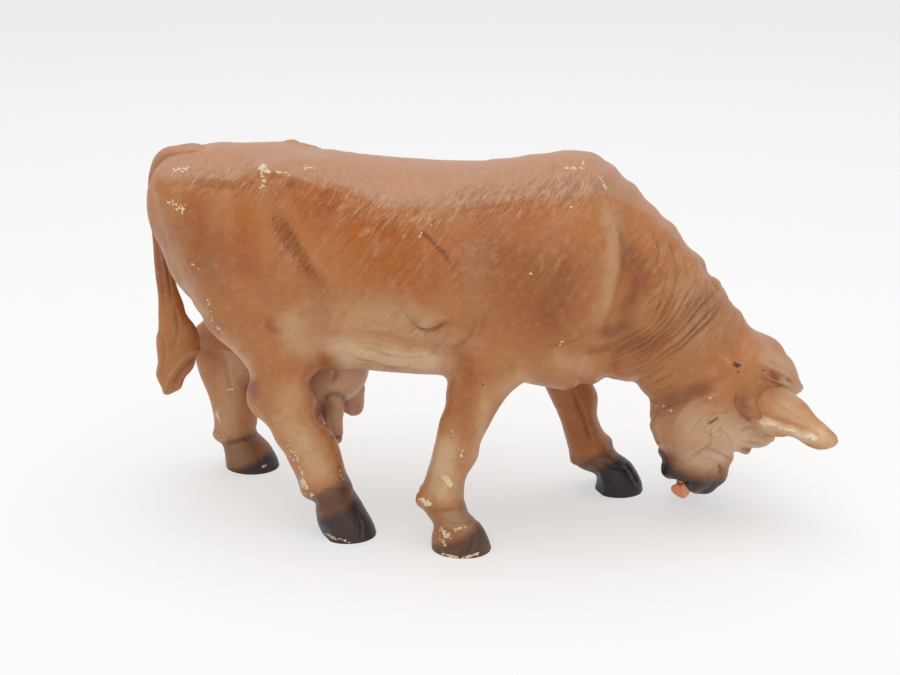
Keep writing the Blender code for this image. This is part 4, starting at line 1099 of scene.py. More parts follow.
def udder_forms(size):
    """The bag's level rings from inside the belly downwards, and each teat's."""
    scale = size.body_length, size.withers_height, size.udder_length, size.udder_width
    rows = smooth_rows(UDDER_SHARES, LOFT_STEPS) * scale
    centres = np.column_stack([rows[:, 0], 0 * rows[:, 0], rows[:, 1]])
    forms = [rings_along(centres, (1, 0, 0), rows[:, 2], rows[:, 2], rows[:, 3])]
    for x, y, long, wide in TEAT_SHARES:
        scale = long * size.teat_length, wide * size.teat_diameter
        drops = smooth_rows(TEAT_ROW_SHARES, LOFT_STEPS) * scale
        root = centres[-1] + (x * size.udder_length, y * size.udder_width, 0)
        line = root + drops[:, :1] * (0, 0, -1)
        forms.append(rings_along(line, (1, 0, 0), drops[:, 1], drops[:, 1], drops[:, 1]))
    return forms


# Sculpting

def get_values(collection, key, width=1, kind=np.float32):
    """A collection's values as an array with a row for each of its members."""
    values = np.empty(len(collection) * width, dtype=kind)
    collection.foreach_get(key, values)
    return values.reshape(-1, width) if width > 1 else values


class Skin:
    """A mesh's points, normals and edges as arrays, and the steps that sculpt them."""

    def __init__(self, mesh):
        self.mesh = mesh
        self.read()

    def read(self):
        self.points = get_values(self.mesh.vertices, "co", 3, float)
        self.normals = get_values(self.mesh.vertex_normals, "vector", 3, float)
        self.edges = get_values(self.mesh.edges, "vertices", 2, np.int32)

    def place(self, points):
        self.mesh.vertices.foreach_set("co", points.ravel())
        self.mesh.update()
        self.read()

    def relax(self, rounds, freedom=1.0):
        """Move each point half its freedom of the way to its neighbours' mean, rounds times."""
        a, b = self.edges.T
        points = self.points
        count = np.bincount(np.concatenate([a, b]), minlength=len(points))[:, None]
        part = np.broadcast_to(np.reshape(freedom, (-1, 1)) / 2, (len(points), 1))
        for _ in range(rounds):
            sums = [np.bincount(a, p[b], len(p)) + np.bincount(b, p[a], len(p)) for p in points.T]
            points = points + part * (np.column_stack(sums) / count - points)
        self.place(points)

    def lift(self, heights):
        """Move each point along its normal."""
        self.place(self.points + self.normals * heights[:, None])

    def refine(self, chosen):
        """Halve the edges between chosen points."""
        work = bmesh.new()
        work.from_mesh(self.mesh)
        edges = [edge for edge, (a, b) in zip(work.edges, chosen[self.edges]) if a and b]
        bmesh.ops.subdivide_edges(work, edges=edges, cuts=1, use_grid_fill=True)
        work.to_mesh(self.mesh)
        work.free()
        self.read()


def remeshed(mesh, grain):
    """Closed skins fused into one, in square faces of a grain."""
    thing = bpy.data.objects.new("rough", mesh)
    bpy.context.scene.collection.objects.link(thing)
    step = thing.modifiers.new("fuse", "REMESH")
    step.mode = "VOXEL"
    step.voxel_size = grain
    graph = bpy.context.evaluated_depsgraph_get()
    result = bpy.data.meshes.new_from_object(thing.evaluated_get(graph), depsgraph=graph)
    bpy.data.objects.remove(thing)
    return result


def line_distance(points, line):
    """Distance of points to a line of places, and how far along it, from 0 to 1, the nearest place is."""
    best, where = np.full(len(points), np.inf), np.zeros(len(points))
    steps = np.linalg.norm(np.diff(line, axis=0), axis=1)
    total, gone = max(steps.sum(), 1e-9), 0.0
    for start, end, step in zip(line, line[1:], steps):
        way = end - start
        t = np.clip((points - start) @ way / max(way @ way, 1e-18), 0, 1)
        distance = np.linalg.norm(points - start - t[:, None] * way, axis=1)
        nearer = distance < best
        best = np.where(nearer, distance, best)
        where = np.where(nearer, (gone + t * step) / total, where)
        gone += step
    return best, where


def rough(points, grain, seed=0):
    """Value noise from 0 to 1: random values at whole places, eased between them by 3t^2 - 2t^3."""
    places = points / grain
    whole = np.floor(places).astype(np.int64)
    t = places - whole
    t = t * t * (3 - 2 * t)
    total = np.zeros(len(points))
    for corner in itertools.product((0, 1), repeat=points.shape[1]):
        key = (whole + corner + seed) @ np.array(NOISE_KEYS)[:points.shape[1]]
        key = (key ^ (key >> 13)) * NOISE_FACTOR
        value = ((key ^ (key >> 16)) & NOISE_BITS) / NOISE_BITS
        total += value * np.prod(np.where(corner, t, 1 - t), axis=1)
    return total


def pushed(view, points, pushes):
    """Points moved across the view by each push's pixels times exp(-(distance / reach)^2)."""
    pixels = view.pixels(points)
    moved = np.zeros((len(points), 2))
    for x, y, reach, right, down, side in pushes:
        share = np.exp(-np.sum((pixels - (x, y)) ** 2, axis=1) / reach ** 2)
        if side:
            share = share * np.clip(side * points[:, 1] / SIDE_FADE, 0, 1)
        moved += share[:, None] * (right, down)
    moved *= ((points - view.place) @ view.ahead / view.focal)[:, None]
    return points + moved[:, :1] * view.right - moved[:, 1:] * view.up


def stroked(pixels, strokes):
    """Sum of height * fade * exp(-(distance / reach)^2) over strokes, fading towards each line's ends."""
    total = np.zeros(len(pixels))
    for reach, height, *places in strokes:
        places = np.array(places, float)
        line = smooth_rows(places, STROKE_STEPS) if len(places) > 2 else places
        limit = STROKE_REACHES * reach
        near = np.all((pixels > line.min(0) - limit) & (pixels < line.max(0) + limit), axis=1)
        distance, where = line_distance(pixels[near], line)
        if len(places) > 2:
            height = height * np.clip(END_SHARE + END_GROWTH * np.minimum(where, 1 - where), 0, 1)
        total[near] += height * np.exp(-(distance / reach) ** 2)
    return total


# The photograph's view

class View:
    """A pinhole camera that looks at a target from an azimuth and an elevation."""

    def __init__(self, studio):
        turn, rise = math.radians(studio.azimuth), math.radians(studio.elevation)
        back = np.array((math.sin(turn) * math.cos(rise), -math.cos(turn) * math.cos(rise), math.sin(rise)))
        self.target = np.array((0, 0, studio.aim))
        self.place = self.target + back * studio.distance
        self.right = unit(np.cross(-back, (0, 0, 1)))
        self.up = np.cross(self.right, -back)
        self.ahead = -back
        self.focal = studio.focal

    def pixels(self, points):
        """Pixel places: middle plus focal * (right, -up) / depth."""
        way = points - self.place
        scale = self.focal / (way @ self.ahead)
        return np.column_stack([PIXELS[0] / 2 + scale * (way @ self.right),
                                PIXELS[1] / 2 - scale * (way @ self.up)])


def near_side(size, points):
    """Points whose left half is mirrored to the right, across the middle of the trunk, neck and head."""
    rows = neck_rows(size)
    middle = np.interp(points[:, 0], rows[:, 0], rows[:, 1], left=0)
    seen = points.copy()
    seen[:, 1] = middle - np.abs(points[:, 1] - middle)
    right = head_frame(size)[2]
    aside = (points - neck_place(size, HEAD_PLACE_SHARES)) @ right
    turned = points - 2 * np.minimum(aside, 0)[:, None] * right
    on_head = head_side(size, points) < 0
    seen[on_head] = turned[on_head]
    legs = leg_view(size, points)
    seen[legs] = points[legs]
    return seen


def side_pixels(size, view, points, mirrored=True):
    """Pixel places of points, where mirrored with the left side's on the right."""
    return view.pixels(near_side(size, points) if mirrored else points)


def head_plane(size):
    """A point and the normal of the plane that parts the head from the neck."""
    slant = math.radians(HEAD_PART_ANGLE)
    return neck_place(size, HEAD_PART_SHARES), (-math.sin(slant), 0, math.cos(slant))


def head_side(size, points):
    """Height over the plane that parts the head, and at least zero away from the head."""
    place, normal = head_plane(size)
    height = (points - place) @ normal
    return np.where(points[:, 0] > FINE_HEAD_SHARE * size.body_length, height, np.maximum(height, 0))


def leg_view(size, points):
    """Where legs are seen for themselves."""
    return (points[:, 2] < LEG_VIEW_SHARE * size.withers_height) & (head_side(size, points) >= 0)


def leg_distance(size, name, points):
    """Level distance of points to a leg's path, which goes on to its hoof."""
    path = np.vstack([leg_path(size, name), hoof_place(size, name)])
    centre = np.column_stack([np.interp(-points[:, 2], -path[:, 2], path[:, i]) for i in (0, 1)])
    return np.linalg.norm(points[:, :2] - centre, axis=1)


def part_height(size, name):
    """Height at which a leg parts from the trunk."""
    path = leg_path(size, name)
    return np.interp(LEG_PART_ROWS[name], range(len(path)), path[:, 2])


# Casting

def bones(size, points):
    """Height of bones and muscles less creases: height * exp(-(distance / reach)^2) of each."""
    flank = points[:, (0, 2)]
    scale = np.array((size.body_length, size.withers_height))
    outward = np.clip(np.abs(points[:, 1]) / (BONE_FADE_SHARE * size.barrel_width), 0, 1) ** 2
    lift = np.zeros(len(points))
    for x, z, reach, height in FLANK_SHARES:
        distance = np.linalg.norm(flank - scale * (x, z), axis=1)
        lift += height * np.exp(-(distance / (reach * size.barrel_width)) ** 2)
    for line, reach, height in CREASE_SHARES:
        distance, _ = line_distance(flank, scale * line)
        lift += height * np.exp(-(distance / (reach * size.barrel_width)) ** 2)
    lift *= outward
    for along, rise, aside, reach, height in FACE_SHARES:
        for side in (-1, 1):
            distance = np.linalg.norm(points - head_place(size, along, rise, side * aside), axis=1)
            lift += height * np.exp(-(distance / (reach * size.head_width)) ** 2)
    return lift * size.relief


def hair_places(points):
    """Places across and along the hair, whose lines drift a little, and across the figure."""
    lay = math.radians(HAIR_ANGLE)
    drift, grain = HAIR_DRIFT
    x, y, z = points.T
    across = z * math.cos(lay) - x * math.sin(lay) + drift * rough(points, grain, DRIFT_SEED)
    return np.column_stack([across, x * math.cos(lay) + z * math.sin(lay), y])


def back_sheen_share(pixels):
    """Share of the back's painted sheen: how far a place is over the flank's upper edge, from 0 to 1 across
    the fade.
    """
    edge = np.interp(pixels[:, 0], *np.array(BACK_EDGE, float).T)
    return np.clip((edge - pixels[:, 1]) / BACK_FADE + 0.5, 0, 1)


def neck_arcs():
    """Strokes blended between each arc of the throat's folds and the next."""
    arcs = np.array(NECK_ARCS, float)
    blends = [a + (b - a) * t for a, b in zip(arcs, arcs[1:]) for t in ARC_BLENDS]
    return [(ARC_REACH, ARC_HEIGHT, *arc) for arc in blends]


def flank_ribs():
    """Short strokes across the groove in front of the thigh, leaning over it."""
    line = smooth_rows(THIGH_GROOVE[2:], RIB_STEPS)[RIBS_LEFT_OUT:]
    return [(RIB_REACH, RIB_HEIGHT, *(place + RIB_PLACES)) for place in line]


def wobbled(pixels, amount, grain):
    """Pixel places pushed about, so that strokes waver as a hand's do."""
    way = np.column_stack([rough(pixels, grain, seed) for seed in WOBBLE_SEEDS])
    return pixels + amount * 2 * (way - 0.5)


def sculpted_casting(size, view):
    """The whole casting: lofts fused and relaxed, boned, and then stroked on finer faces, with the lifts of
    its narrow strokes, which paint shade in creases and highlight on ridges.
    """
    forms = [trunk_rings(size), neck_rings(size), head_rings(size)]
    for name in LEG_PATH_SHARES:
        forms += [leg_rings(size, name), hoof_rings(size, name), *dewclaw_forms(size, name)]
    skin = Skin(remeshed(skins("casting", forms), size.grain))
    skin.relax(RELAX_ROUNDS, 1 - (1 - HOOF_FREEDOM) * hoof_share(size, skin.points))
    skin.place(pushed(view, skin.points, CASTING_PUSHES))
    skin.lift(bones(size, skin.points))

    strokes = (*FLANK_STROKES, *neck_arcs(), *NECK_STROKES, *FACE_STROKES)
    ribbed = (*strokes, *flank_ribs())
    for finer in (fine_places, finest_places):
        chosen = finer(size, view, skin.points, ribbed)
        skin.refine(chosen)
        new = np.ones(len(skin.points) - len(chosen))
        skin.relax(FINE_ROUNDS, np.concatenate([chosen, new]))

    pixels = wobbled(side_pixels(size, view, skin.points), *STROKE_WOBBLE)
    broken = BROKEN_SHARE + BROKEN_RANGE * rough(skin.points, BROKEN_GRAIN, BROKEN_SEED)
    on_legs = leg_view(size, skin.points)
    leg_pixels = view.pixels(skin.points)
    relief, folds = (
        np.where(on_legs, stroked(leg_pixels, legs), stroked(pixels, others) * broken)
        for legs, others in ((LEG_STROKES, ribbed), (narrow_ones(LEG_STROKES), narrow_ones(strokes)))
    )
    skin.lift(relief * size.stroke_depth + hair_relief(size, skin.points, pixels))
    return skin, folds


def narrow_ones(strokes):
    """The strokes that are narrow enough to take painted shade in their creases and painted highlight on
    their ridges.
    """
    return [stroke for stroke in strokes if stroke[0] < NARROW]


def near_narrow(pixels, strokes):
    """Where narrow strokes pass."""
    return stroked(pixels, [(FINE_REACH, 1.0, *stroke[2:]) for stroke in narrow_ones(strokes)]) > FINE_SHARE


def fine_places(size, view, points, strokes):
    """Where faces become finer: by narrow strokes, in strong hair, on the head and on the lower legs."""
    pixels = side_pixels(size, view, points)
    hair = stroked(pixels, PAINT_STROKES["hair"]) > FINE_HAIR_SHARE
    return near_narrow(pixels, strokes) | hair | (head_side(size, points) < 0) | leg_view(size, points)


def finest_places(size, view, points, strokes):
    """Where faces become finer still: by narrow strokes on the head and in the flank's groove."""
    pixels = side_pixels(size, view, points)
    head = head_side(size, points) < 0
    return np.where(head, near_narrow(pixels, strokes), near_narrow(pixels, flank_ribs()))


def hoof_share(size, points):
    """1 on the hooves, fading out above them, and 0 on the head."""
    share = np.clip(HOOF_TOP_SHARE - points[:, 2] / size.hoof_height, 0, 1)
    return share * (head_side(size, points) >= 0)


def hair_relief(size, points, pixels):
    """Hair and the casting's unevenness."""
    strands = rough(hair_places(points) / HAIR_GRAINS, 1, HAIR_SEED) - 0.5
    uneven = rough(points, UNEVEN_GRAIN, UNEVEN_SEED) - 0.5
    return size.hair_depth * (HAIR_HEIGHT * hair_share(size, points, pixels) * strands + uneven)


def hair_share(size, points, pixels):
    """Strength of the hair, from 0 to 1."""
    body = np.clip(BARE_HAIR + stroked(pixels, PAINT_STROKES["hair"]), 0, 1)
    return np.where(leg_view(size, points), BARE_HAIR, body)


def hoof_masks(size, points):
    """Strength of the hooves' dark paint, thinner over its edge."""
    dark = np.zeros(len(points))
    for name, (edge, fade, strength, top, spread, tone) in HOOF_PAINT.items():
        near = leg_distance(size, name, points) < size.leg_depth
        ahead = (points[:, 0] - hoof_place(size, name)[0]) / size.hoof_length
        height = points[:, 2] / size.hoof_height - TOE_SHARE * ahead
        dark = np.where(near, strength * np.clip((edge - height) / fade + 0.5, 0, 1), dark)
        brown = tone * np.clip((top - height) / spread + 0.5, 0, 1)
        dark = np.where(near, np.maximum(dark, brown), dark)
    return dark


def paint_masks(size, view, points, folds, node="trunk"):
    """Strength of each paint at each point, the back's painted sheen, its folds, which paint shade in
    creases and highlight on ridges, and the places and strength of its hair.
    """
    on_ear = node in EAR_PLACE_SHARES
    own = EAR_PAINT_STROKES if on_ear else {}
    pixels = wobbled(side_pixels(size, view, points, on_ear or node == "trunk"), *PAINT_WOBBLE)
    masks = {name: np.clip(stroked(pixels, strokes + own.get(name, ())), 0, PAINT_LIMIT)
             for name, strokes in PAINT_STROKES.items()}
    # Painted sheen over the top of the back
    masks["back"] = back_sheen_share(pixels)
    masks["hair"] = hair_share(size, points, pixels)
    masks["lay"] = hair_places(points)
    # Lifts of narrow strokes: painted shade where they sink and painted highlight where they rise
    masks["fold"] = folds
    edge = np.interp(pixels[:, 0], *np.array(MUZZLE_EDGE, float).T)
    muzzle = MUZZLE_STRENGTH * np.clip((pixels[:, 1] - edge) / MUZZLE_FADE + 0.5, 0, 1)
    dark = np.where(head_side(size, points) < 0, muzzle, hoof_masks(size, points))
    masks["dark"] = 0 * dark if on_ear else dark
    return masks


def set_masks(mesh, masks):
    """Attributes of a mesh's points, numbers or vectors, from arrays under their names."""
    for name, values in masks.items():
        kind, key = ("FLOAT_VECTOR", "vector") if values.ndim > 1 else ("FLOAT", "value")
        layer = mesh.attributes.new(name, kind, "POINT")
        layer.data.foreach_set(key, values.astype(np.float32).ravel())


def parted(size, mesh):
    """The casting cut at the table and along the sections' partings, and the section of each face."""
    points = get_values(mesh.polygons, "center", 3)
    work = bmesh.new()
    work.from_mesh(mesh)
    faces = np.array(work.faces, dtype=object)
    reach = 3 * size.grain
    ahead = points[:, 0] > FINE_HEAD_SHARE * size.body_length
    near = (np.abs(head_side(size, points)) < reach) & ahead
    cuts = [(faces[near].tolist(), *head_plane(size))]
    for name in LEG_PATH_SHARES:
        height = part_height(size, name)
        near = (np.abs(points[:, 2] - height) < reach) & (leg_distance(size, name, points) < size.leg_depth)
        cuts.append((faces[near].tolist(), (0, 0, height), (0, 0, 1)))
    for chosen, place, normal in cuts:
        rim = {part for face in chosen for part in (*face.verts, *face.edges)}
        bmesh.ops.bisect_plane(work, geom=chosen + list(rim), plane_co=place, plane_no=normal,
                               dist=CUT_TOLERANCE)
    everything = work.verts[:] + work.edges[:] + work.faces[:]
    bmesh.ops.bisect_plane(work, geom=everything, plane_co=(0, 0, 0), plane_no=(0, 0, 1),
                           dist=CUT_TOLERANCE, clear_inner=True)
    work.to_mesh(mesh)
    work.free()
    centres = get_values(mesh.polygons, "center", 3)
    section = np.full(len(centres), "trunk", dtype=object)
    section[head_side(size, centres) < 0] = "head"
    for name in LEG_PATH_SHARES:
        below = centres[:, 2] < part_height(size, name)
        section[below & (leg_distance(size, name, centres) < size.leg_depth)] = name
    return section


def section_mesh(name, mesh, kept):
    """A closed mesh of the kept faces, its cut ends filled flat, and its skin shaded as before the cut."""
    work = bmesh.new()
    work.from_mesh(mesh)
    lost = [face for face, stays in zip(work.faces, kept) if not stays]
    bmesh.ops.delete(work, geom=lost, context="FACES")
    rim = [edge for edge in work.edges if edge.is_boundary]
    bmesh.ops.holes_fill(work, edges=rim, sides=0)
    bmesh.ops.recalc_face_normals(work, faces=work.faces)
    section = bpy.data.meshes.new(name)
    work.to_mesh(section)
    work.free()
    section.shade_smooth()
    sides = get_values(section.polygons, "loop_total", kind=np.int32)
    normals = get_values(section.attributes["skin_normal"].data, "vector", 3)
    corners = normals[get_values(section.loops, "vertex_index", kind=np.int32)]
    flat = np.repeat(sides > CAP_SIDES, sides)
    corners[flat] = np.repeat(get_values(section.polygons, "normal", 3), sides, axis=0)[flat]
    section.normals_split_custom_set(corners.tolist())
    return section


# Paint

class Wire:
    """An output of a node. Sums, differences and products of wires add Math nodes."""

    def __init__(self, finish, socket):
        self.finish = finish
        self.socket = socket

    def math(self, operation, first, second, clip=False):
        settings = {"operation": operation, "use_clamp": clip}
        return self.finish.node("ShaderNodeMath", settings, {0: first, 1: second})

    def __add__(self, other):
        return self.math("ADD", self, other)

    __radd__ = __add__

    def __sub__(self, other):
        return self.math("SUBTRACT", self, other)

    def __rsub__(self, other):
        return self.math("SUBTRACT", other, self)

    def __mul__(self, other):
        return self.math("MULTIPLY", self, other)

    __rmul__ = __mul__

    def absolute(self):
        return self.math("ABSOLUTE", self, 0.0)

    def clipped(self):
        return self.math("ADD", self, 0.0, clip=True)

    def ramp(self, low, high):
        """0 below low, 1 above high, and eased between."""
        settings = {"interpolation_type": "SMOOTHSTEP"}
        inputs = {"Value": self, "From Min": low, "From Max": high}
        return self.finish.node("ShaderNodeMapRange", settings, inputs)


class Nodes:
    """A node tree, and the one method that adds its nodes."""

    def __init__(self, tree):
        self.tree = tree

    def fill(self, socket, value):
        if isinstance(value, Wire):
            self.tree.links.new(value.socket, socket)
        elif isinstance(value, (int, float)):
            socket.default_value = value
        else:
            values = tuple(value)
            room = len(socket.default_value)
            socket.default_value = values + (1.0,) * (room - len(values))

    def node(self, kind, settings=None, inputs=None, output=0):
        """Add a node of a kind, apply its settings, fill its sockets and give one of its outputs."""
        node = self.tree.nodes.new(kind)
        for key, value in (settings or {}).items():
            setattr(node, key, value)
        for key, value in (inputs or {}).items():
            self.fill(node.inputs[key], value)
        return Wire(self, node.outputs[output])

    def direct_rays(self):
        """1 for rays that see the stage's own white, and 0 for the others."""
        rays = [self.node("ShaderNodeLightPath", output=name) for name in DIRECT_RAYS]
        return sum(rays[1:], rays[0]).clipped()


class Finish(Nodes):
    """A material with a Principled shader."""

    def __init__(self, name):
        self.material = bpy.data.materials.new(name)
        self.material.use_nodes = True
        super().__init__(self.material.node_tree)
        self.shader = self.tree.nodes["Principled BSDF"]

    def mask(self, name, output="Fac"):
        return self.node("ShaderNodeAttribute", {"attribute_name": name}, output=output)

    def noise(self, vector, scale, detail=2.0, roughness=0.5):
        inputs = {"Vector": vector, "Scale": scale, "Detail": detail, "Roughness": roughness}
        return self.node("ShaderNodeTexNoise", None, inputs)

    def noises(self, scales):
        """Noises over the object, one for each row of scale, detail and roughness."""
        place = self.node("ShaderNodeTexCoord", output="Object")
        return [self.noise(place, *scale) for scale in scales]

    def strands(self, lay, scale, low, high):
        """Noise stretched along the hair, cut between two of its values."""
        stretched = self.node("ShaderNodeVectorMath", {"operation": "MULTIPLY"}, {0: lay, 1: scale})
        return self.noise(stretched, 1.0).ramp(low, high)

    def blend(self, share, first, second):
        """The first colour, turning into the second by a share."""
        return self.node("ShaderNodeMix", {"data_type": "RGBA"}, {0: share, 6: first, 7: second}, output=2)

    def bump(self, height, distance):
        return self.node("ShaderNodeBump", None, {"Strength": 1.0, "Distance": distance, "Height": height})

    def finish(self, **sockets):
        for name, value in sockets.items():
            self.fill(self.shader.inputs[name.replace("_", " ")], value)
        return self.material


def coat_finish(paint):
    """Hand-painted coat: tones laid by masks with broken edges, painted sheen over the back and ridges,
    painted shade in folds and painted highlight on their ridges, painted shade and highlight along the
    hair's strands, wear and moulded hair.
    """
    coat = Finish("coat_paint")
    cloud, mottle, speck = coat.noises(COAT_NOISES)
    lay = coat.mask("lay", "Vector")
    long_hair, short_hair = (coat.strands(lay, *noise) for noise in STRAND_NOISES)
    strands = long_hair * 0.6 + short_hair * 0.4
    hair = coat.mask("hair")
    fold = coat.mask("fold")
    drift = (cloud - 0.5) * 0.7 + (mottle - 0.5) * 0.45

    tone = coat.blend(((cloud - 0.5) * 1.6 + 0.35).clipped(), paint.tan, paint.amber)
    # Amber, red brown that is also painted shade in grooves and hollows, and cream that is also painted
    # highlight
    for name, cover in COAT_TONES:
        tone = coat.blend(((coat.mask(name) + drift) * cover).clipped(), tone, getattr(paint, name))
    # Painted sheen over the top of the back and on ridges that catch the light
    tone = coat.blend((coat.mask("back") * 0.7 + coat.mask("mauve") * 0.6 + drift * 0.6).clipped(), tone,
                      paint.mauve)
    # Painted shade in the low hair strands and mottle, and painted highlight on the high ones, which the
    # bump below raises
    tone = coat.blend(((0.42 - strands) * hair + (0.5 - mottle) * 0.5).clipped(), tone, paint.shade)
    tone = coat.blend(((strands - 0.58) * hair * 0.9 + (mottle - 0.56) * 0.8).clipped(), tone, paint.pale)
    # Painted shade in the creases of narrow strokes, and painted highlight on their ridges
    tone = coat.blend((fold * -0.6 + (mottle - 0.5) * fold.absolute()).ramp(0.04, 0.9), tone, paint.shade)
    tone = coat.blend((fold * 0.45 - 0.08).clipped(), tone, paint.pale)
    # Painted shade in pockets and grooves, with a scratch and some darker tone
    tone = coat.blend(((coat.mask("shade") + drift * 0.6) * 0.8).clipped(), tone, paint.shade)
    tone = coat.blend((coat.mask("dark") + drift * 0.5).ramp(0.1, 0.95), tone, paint.dark)
    stain = (coat.mask("stain") + (speck - 0.5) * 2.0).ramp(0.62, 0.80)
    tone = coat.blend(stain, tone, paint.stain)
    chips = (coat.mask("worn") + (speck - 0.5) * 2.6).ramp(0.80, 0.88)
    tone = coat.blend(chips, tone, paint.bare)

    roughness = paint.roughness + (mottle - 0.5) * 0.2 + chips * 0.2
    height = strands * (hair + 0.05) * 1.4 + mottle * 0.35 + speck * 0.08 - chips * 0.3
    return coat.finish(Base_Color=tone, Roughness=roughness, Normal=coat.bump(height, COAT_BUMP),
                       Specular_IOR_Level=0.38)


def soft_finish(paint, name, ground):
    """Paint of one tone, clouded and a little uneven, with painted shade in its folds and painted highlight
    on their ridges.
    """
    soft = Finish(name)
    cloud, mottle = soft.noises(SOFT_NOISES)
    fold = soft.mask("fold")
    drift = (cloud - 0.5) * 0.5 + (mottle - 0.5) * 0.3
    tone = soft.blend((drift + 0.1).clipped(), ground, paint.tan)
    # Red brown that is also painted shade, then painted shade
    for key, cover in SOFT_TONES:
        tone = soft.blend(((soft.mask(key) + drift) * cover).clipped(), tone, getattr(paint, key))
    # Painted shade in the creases and painted highlight on the ridges of the plug's strokes
    tone = soft.blend((fold * -0.9).clipped(), tone, paint.shade)
    tone = soft.blend((fold * 0.8).clipped(), tone, paint.pale)
    height = mottle * 0.5 + cloud * 0.5
    return soft.finish(Base_Color=tone, Roughness=paint.roughness + (mottle - 0.5) * 0.1,
                       Normal=soft.bump(height, SOFT_BUMP), Specular_IOR_Level=0.5)


def coat_paint(context):
    """The coat's material, made the first time that it is asked for."""
    return bpy.data.materials.get("coat_paint") or coat_finish(context.scene.cow_paint)


# Pieces

def figure_shift(size):
    """How far the solids stand from where the shares put them: the tail's box tells it."""
    rings = tail_rings(size).reshape(-1, 3)
    shift = np.sum(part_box("tail"), axis=0) / 2 - (rings.min(0) + rings.max(0)) / 2
    return shift * (1, 1, 0)


def add_piece(context, mesh, node, material):
    """A finished piece in place of a node, moved to where the solids stand."""
    points = get_values(mesh.vertices, "co", 3) + figure_shift(context.scene.cow_sizes).astype(np.float32)
    mesh.vertices.foreach_set("co", points.ravel())
    mesh.materials.clear()
    mesh.materials.append(material)
    mesh.update()
    piece = bpy.data.objects.new(node + "_skin", mesh)
    context.scene.collection.objects.link(piece)
    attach(piece, "root")
    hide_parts(node)


def add_plug(context, node, forms, grain, material):
    """A plug's forms fused and relaxed, pushed and stroked, and painted, in place of its node."""
    size, view = context.scene.cow_sizes, View(context.scene.cow_studio)
    skin = Skin(remeshed(skins(node + "_skin", forms), grain))
    skin.relax(PLUG_ROUNDS[node])
    skin.place(pushed(view, skin.points, PLUG_PUSHES[node]))
    on_ear = node in EAR_PLACE_SHARES
    pixels = side_pixels(size, view, skin.points, on_ear)
    folds = stroked(pixels, PLUG_STROKES["right_ear" if on_ear else node])
    uneven = size.hair_depth * (rough(skin.points, PLUG_UNEVEN_GRAIN, UNEVEN_SEED) - 0.5)
    skin.lift(folds * PLUG_DEPTH_SHARE * size.stroke_depth + uneven)
    # The strokes' folds also give painted shade in creases and painted highlight on ridges
    set_masks(skin.mesh, paint_masks(size, view, skin.points, folds, node))
    skin.mesh.shade_smooth()
    add_piece(context, skin.mesh, node, material)


class CowCasting(bpy.types.Operator):
    """Sculpt and paint the trunk, the head and the legs"""

    bl_idname = "cow.casting"
    bl_label = "Trunk, head and legs"

    def execute(self, context):
        size, view = context.scene.cow_sizes, View(context.scene.cow_studio)
        skin, folds = sculpted_casting(size, view)
        set_masks(skin.mesh, paint_masks(size, view, skin.points, folds))
        set_masks(skin.mesh, {"skin_normal": skin.normals})
        sections = parted(size, skin.mesh)
        for node in ("trunk", "head", *LEG_PATH_SHARES):
            mesh = section_mesh(node + "_skin", skin.mesh, sections == node)
            add_piece(context, mesh, node, coat_paint(context))
        return {"FINISHED"}


class CowEars(bpy.types.Operator):
    """Sculpt and paint the ears"""

    bl_idname = "cow.ears"
    bl_label = "Ears"

    def execute(self, context):
        size = context.scene.cow_sizes
        for node in EAR_PLACE_SHARES:
            forms = [ear_rings(size, node)]
            add_plug(context, node, forms, size.plug_grain, coat_paint(context))
        return {"FINISHED"}


class CowTail(bpy.types.Operator):
    """Sculpt and paint the tail"""

    bl_idname = "cow.tail"
    bl_label = "Tail"

    def execute(self, context):
        size = context.scene.cow_sizes
        add_plug(context, "tail", [tail_rings(size)], size.plug_grain, coat_paint(context))
        return {"FINISHED"}


class CowUdder(bpy.types.Operator):
    """Sculpt and paint the udder"""

    bl_idname = "cow.udder"
    bl_label = "Udder"

    def execute(self, context):
        size, paint = context.scene.cow_sizes, context.scene.cow_paint
        bag = soft_finish(paint, "udder_paint", paint.udder)
        add_plug(context, "udder", udder_forms(size), size.plug_grain, bag)
        return {"FINISHED"}


class CowTongue(bpy.types.Operator):
    """Sculpt and paint the tongue"""

    bl_idname = "cow.tongue"
    bl_label = "Tongue"

    def execute(self, context):
        size, paint = context.scene.cow_sizes, context.scene.cow_paint
        pink = soft_finish(paint, "tongue_paint", paint.tongue)
        add_plug(context, "tongue", [tongue_rings(size)], size.tongue_grain, pink)
        return {"FINISHED"}


# Stage

def table_mesh():
    """A flat table that curves up into a backdrop: a profile of a line, a quarter round and a line."""
    half, front, back, radius, height = TABLE
    turn = np.linspace(0, math.pi / 2, CURVE_POINTS)
    curve = np.column_stack([back + radius * np.sin(turn), radius * (1 - np.cos(turn))])
    profile = np.vstack([(front, 0), curve, (back + radius, height)])
    ends = [np.column_stack([np.full(len(profile), x), profile]) for x in (-half, half)]
    index = np.arange(len(profile))
    faces = np.column_stack([index[:-1], index[:-1] + len(profile), index[1:] + len(profile), index[1:]])
    mesh = bpy.data.meshes.new("table")
    mesh.from_pydata(np.vstack(ends).tolist(), [], faces.tolist())
    mesh.shade_smooth()
    return mesh


def table_finish(studio):
    """Matt white whose shadows stay pale, because seen directly it also glows a little."""
    white = Finish("table_white")
    white.finish(Base_Color=studio.floor, Roughness=0.8, Specular_IOR_Level=0.2)
    glow = white.node("ShaderNodeEmission", None, {"Color": (1.0, 1.0, 1.0), "Strength": 1.0})
    shaders = {0: white.direct_rays() * studio.glow, 1: Wire(white, white.shader.outputs[0]), 2: glow}
    mixed = white.node("ShaderNodeMixShader", None, shaders)
    white.fill(white.tree.nodes["Material Output"].inputs["Surface"], mixed)
    return white.material


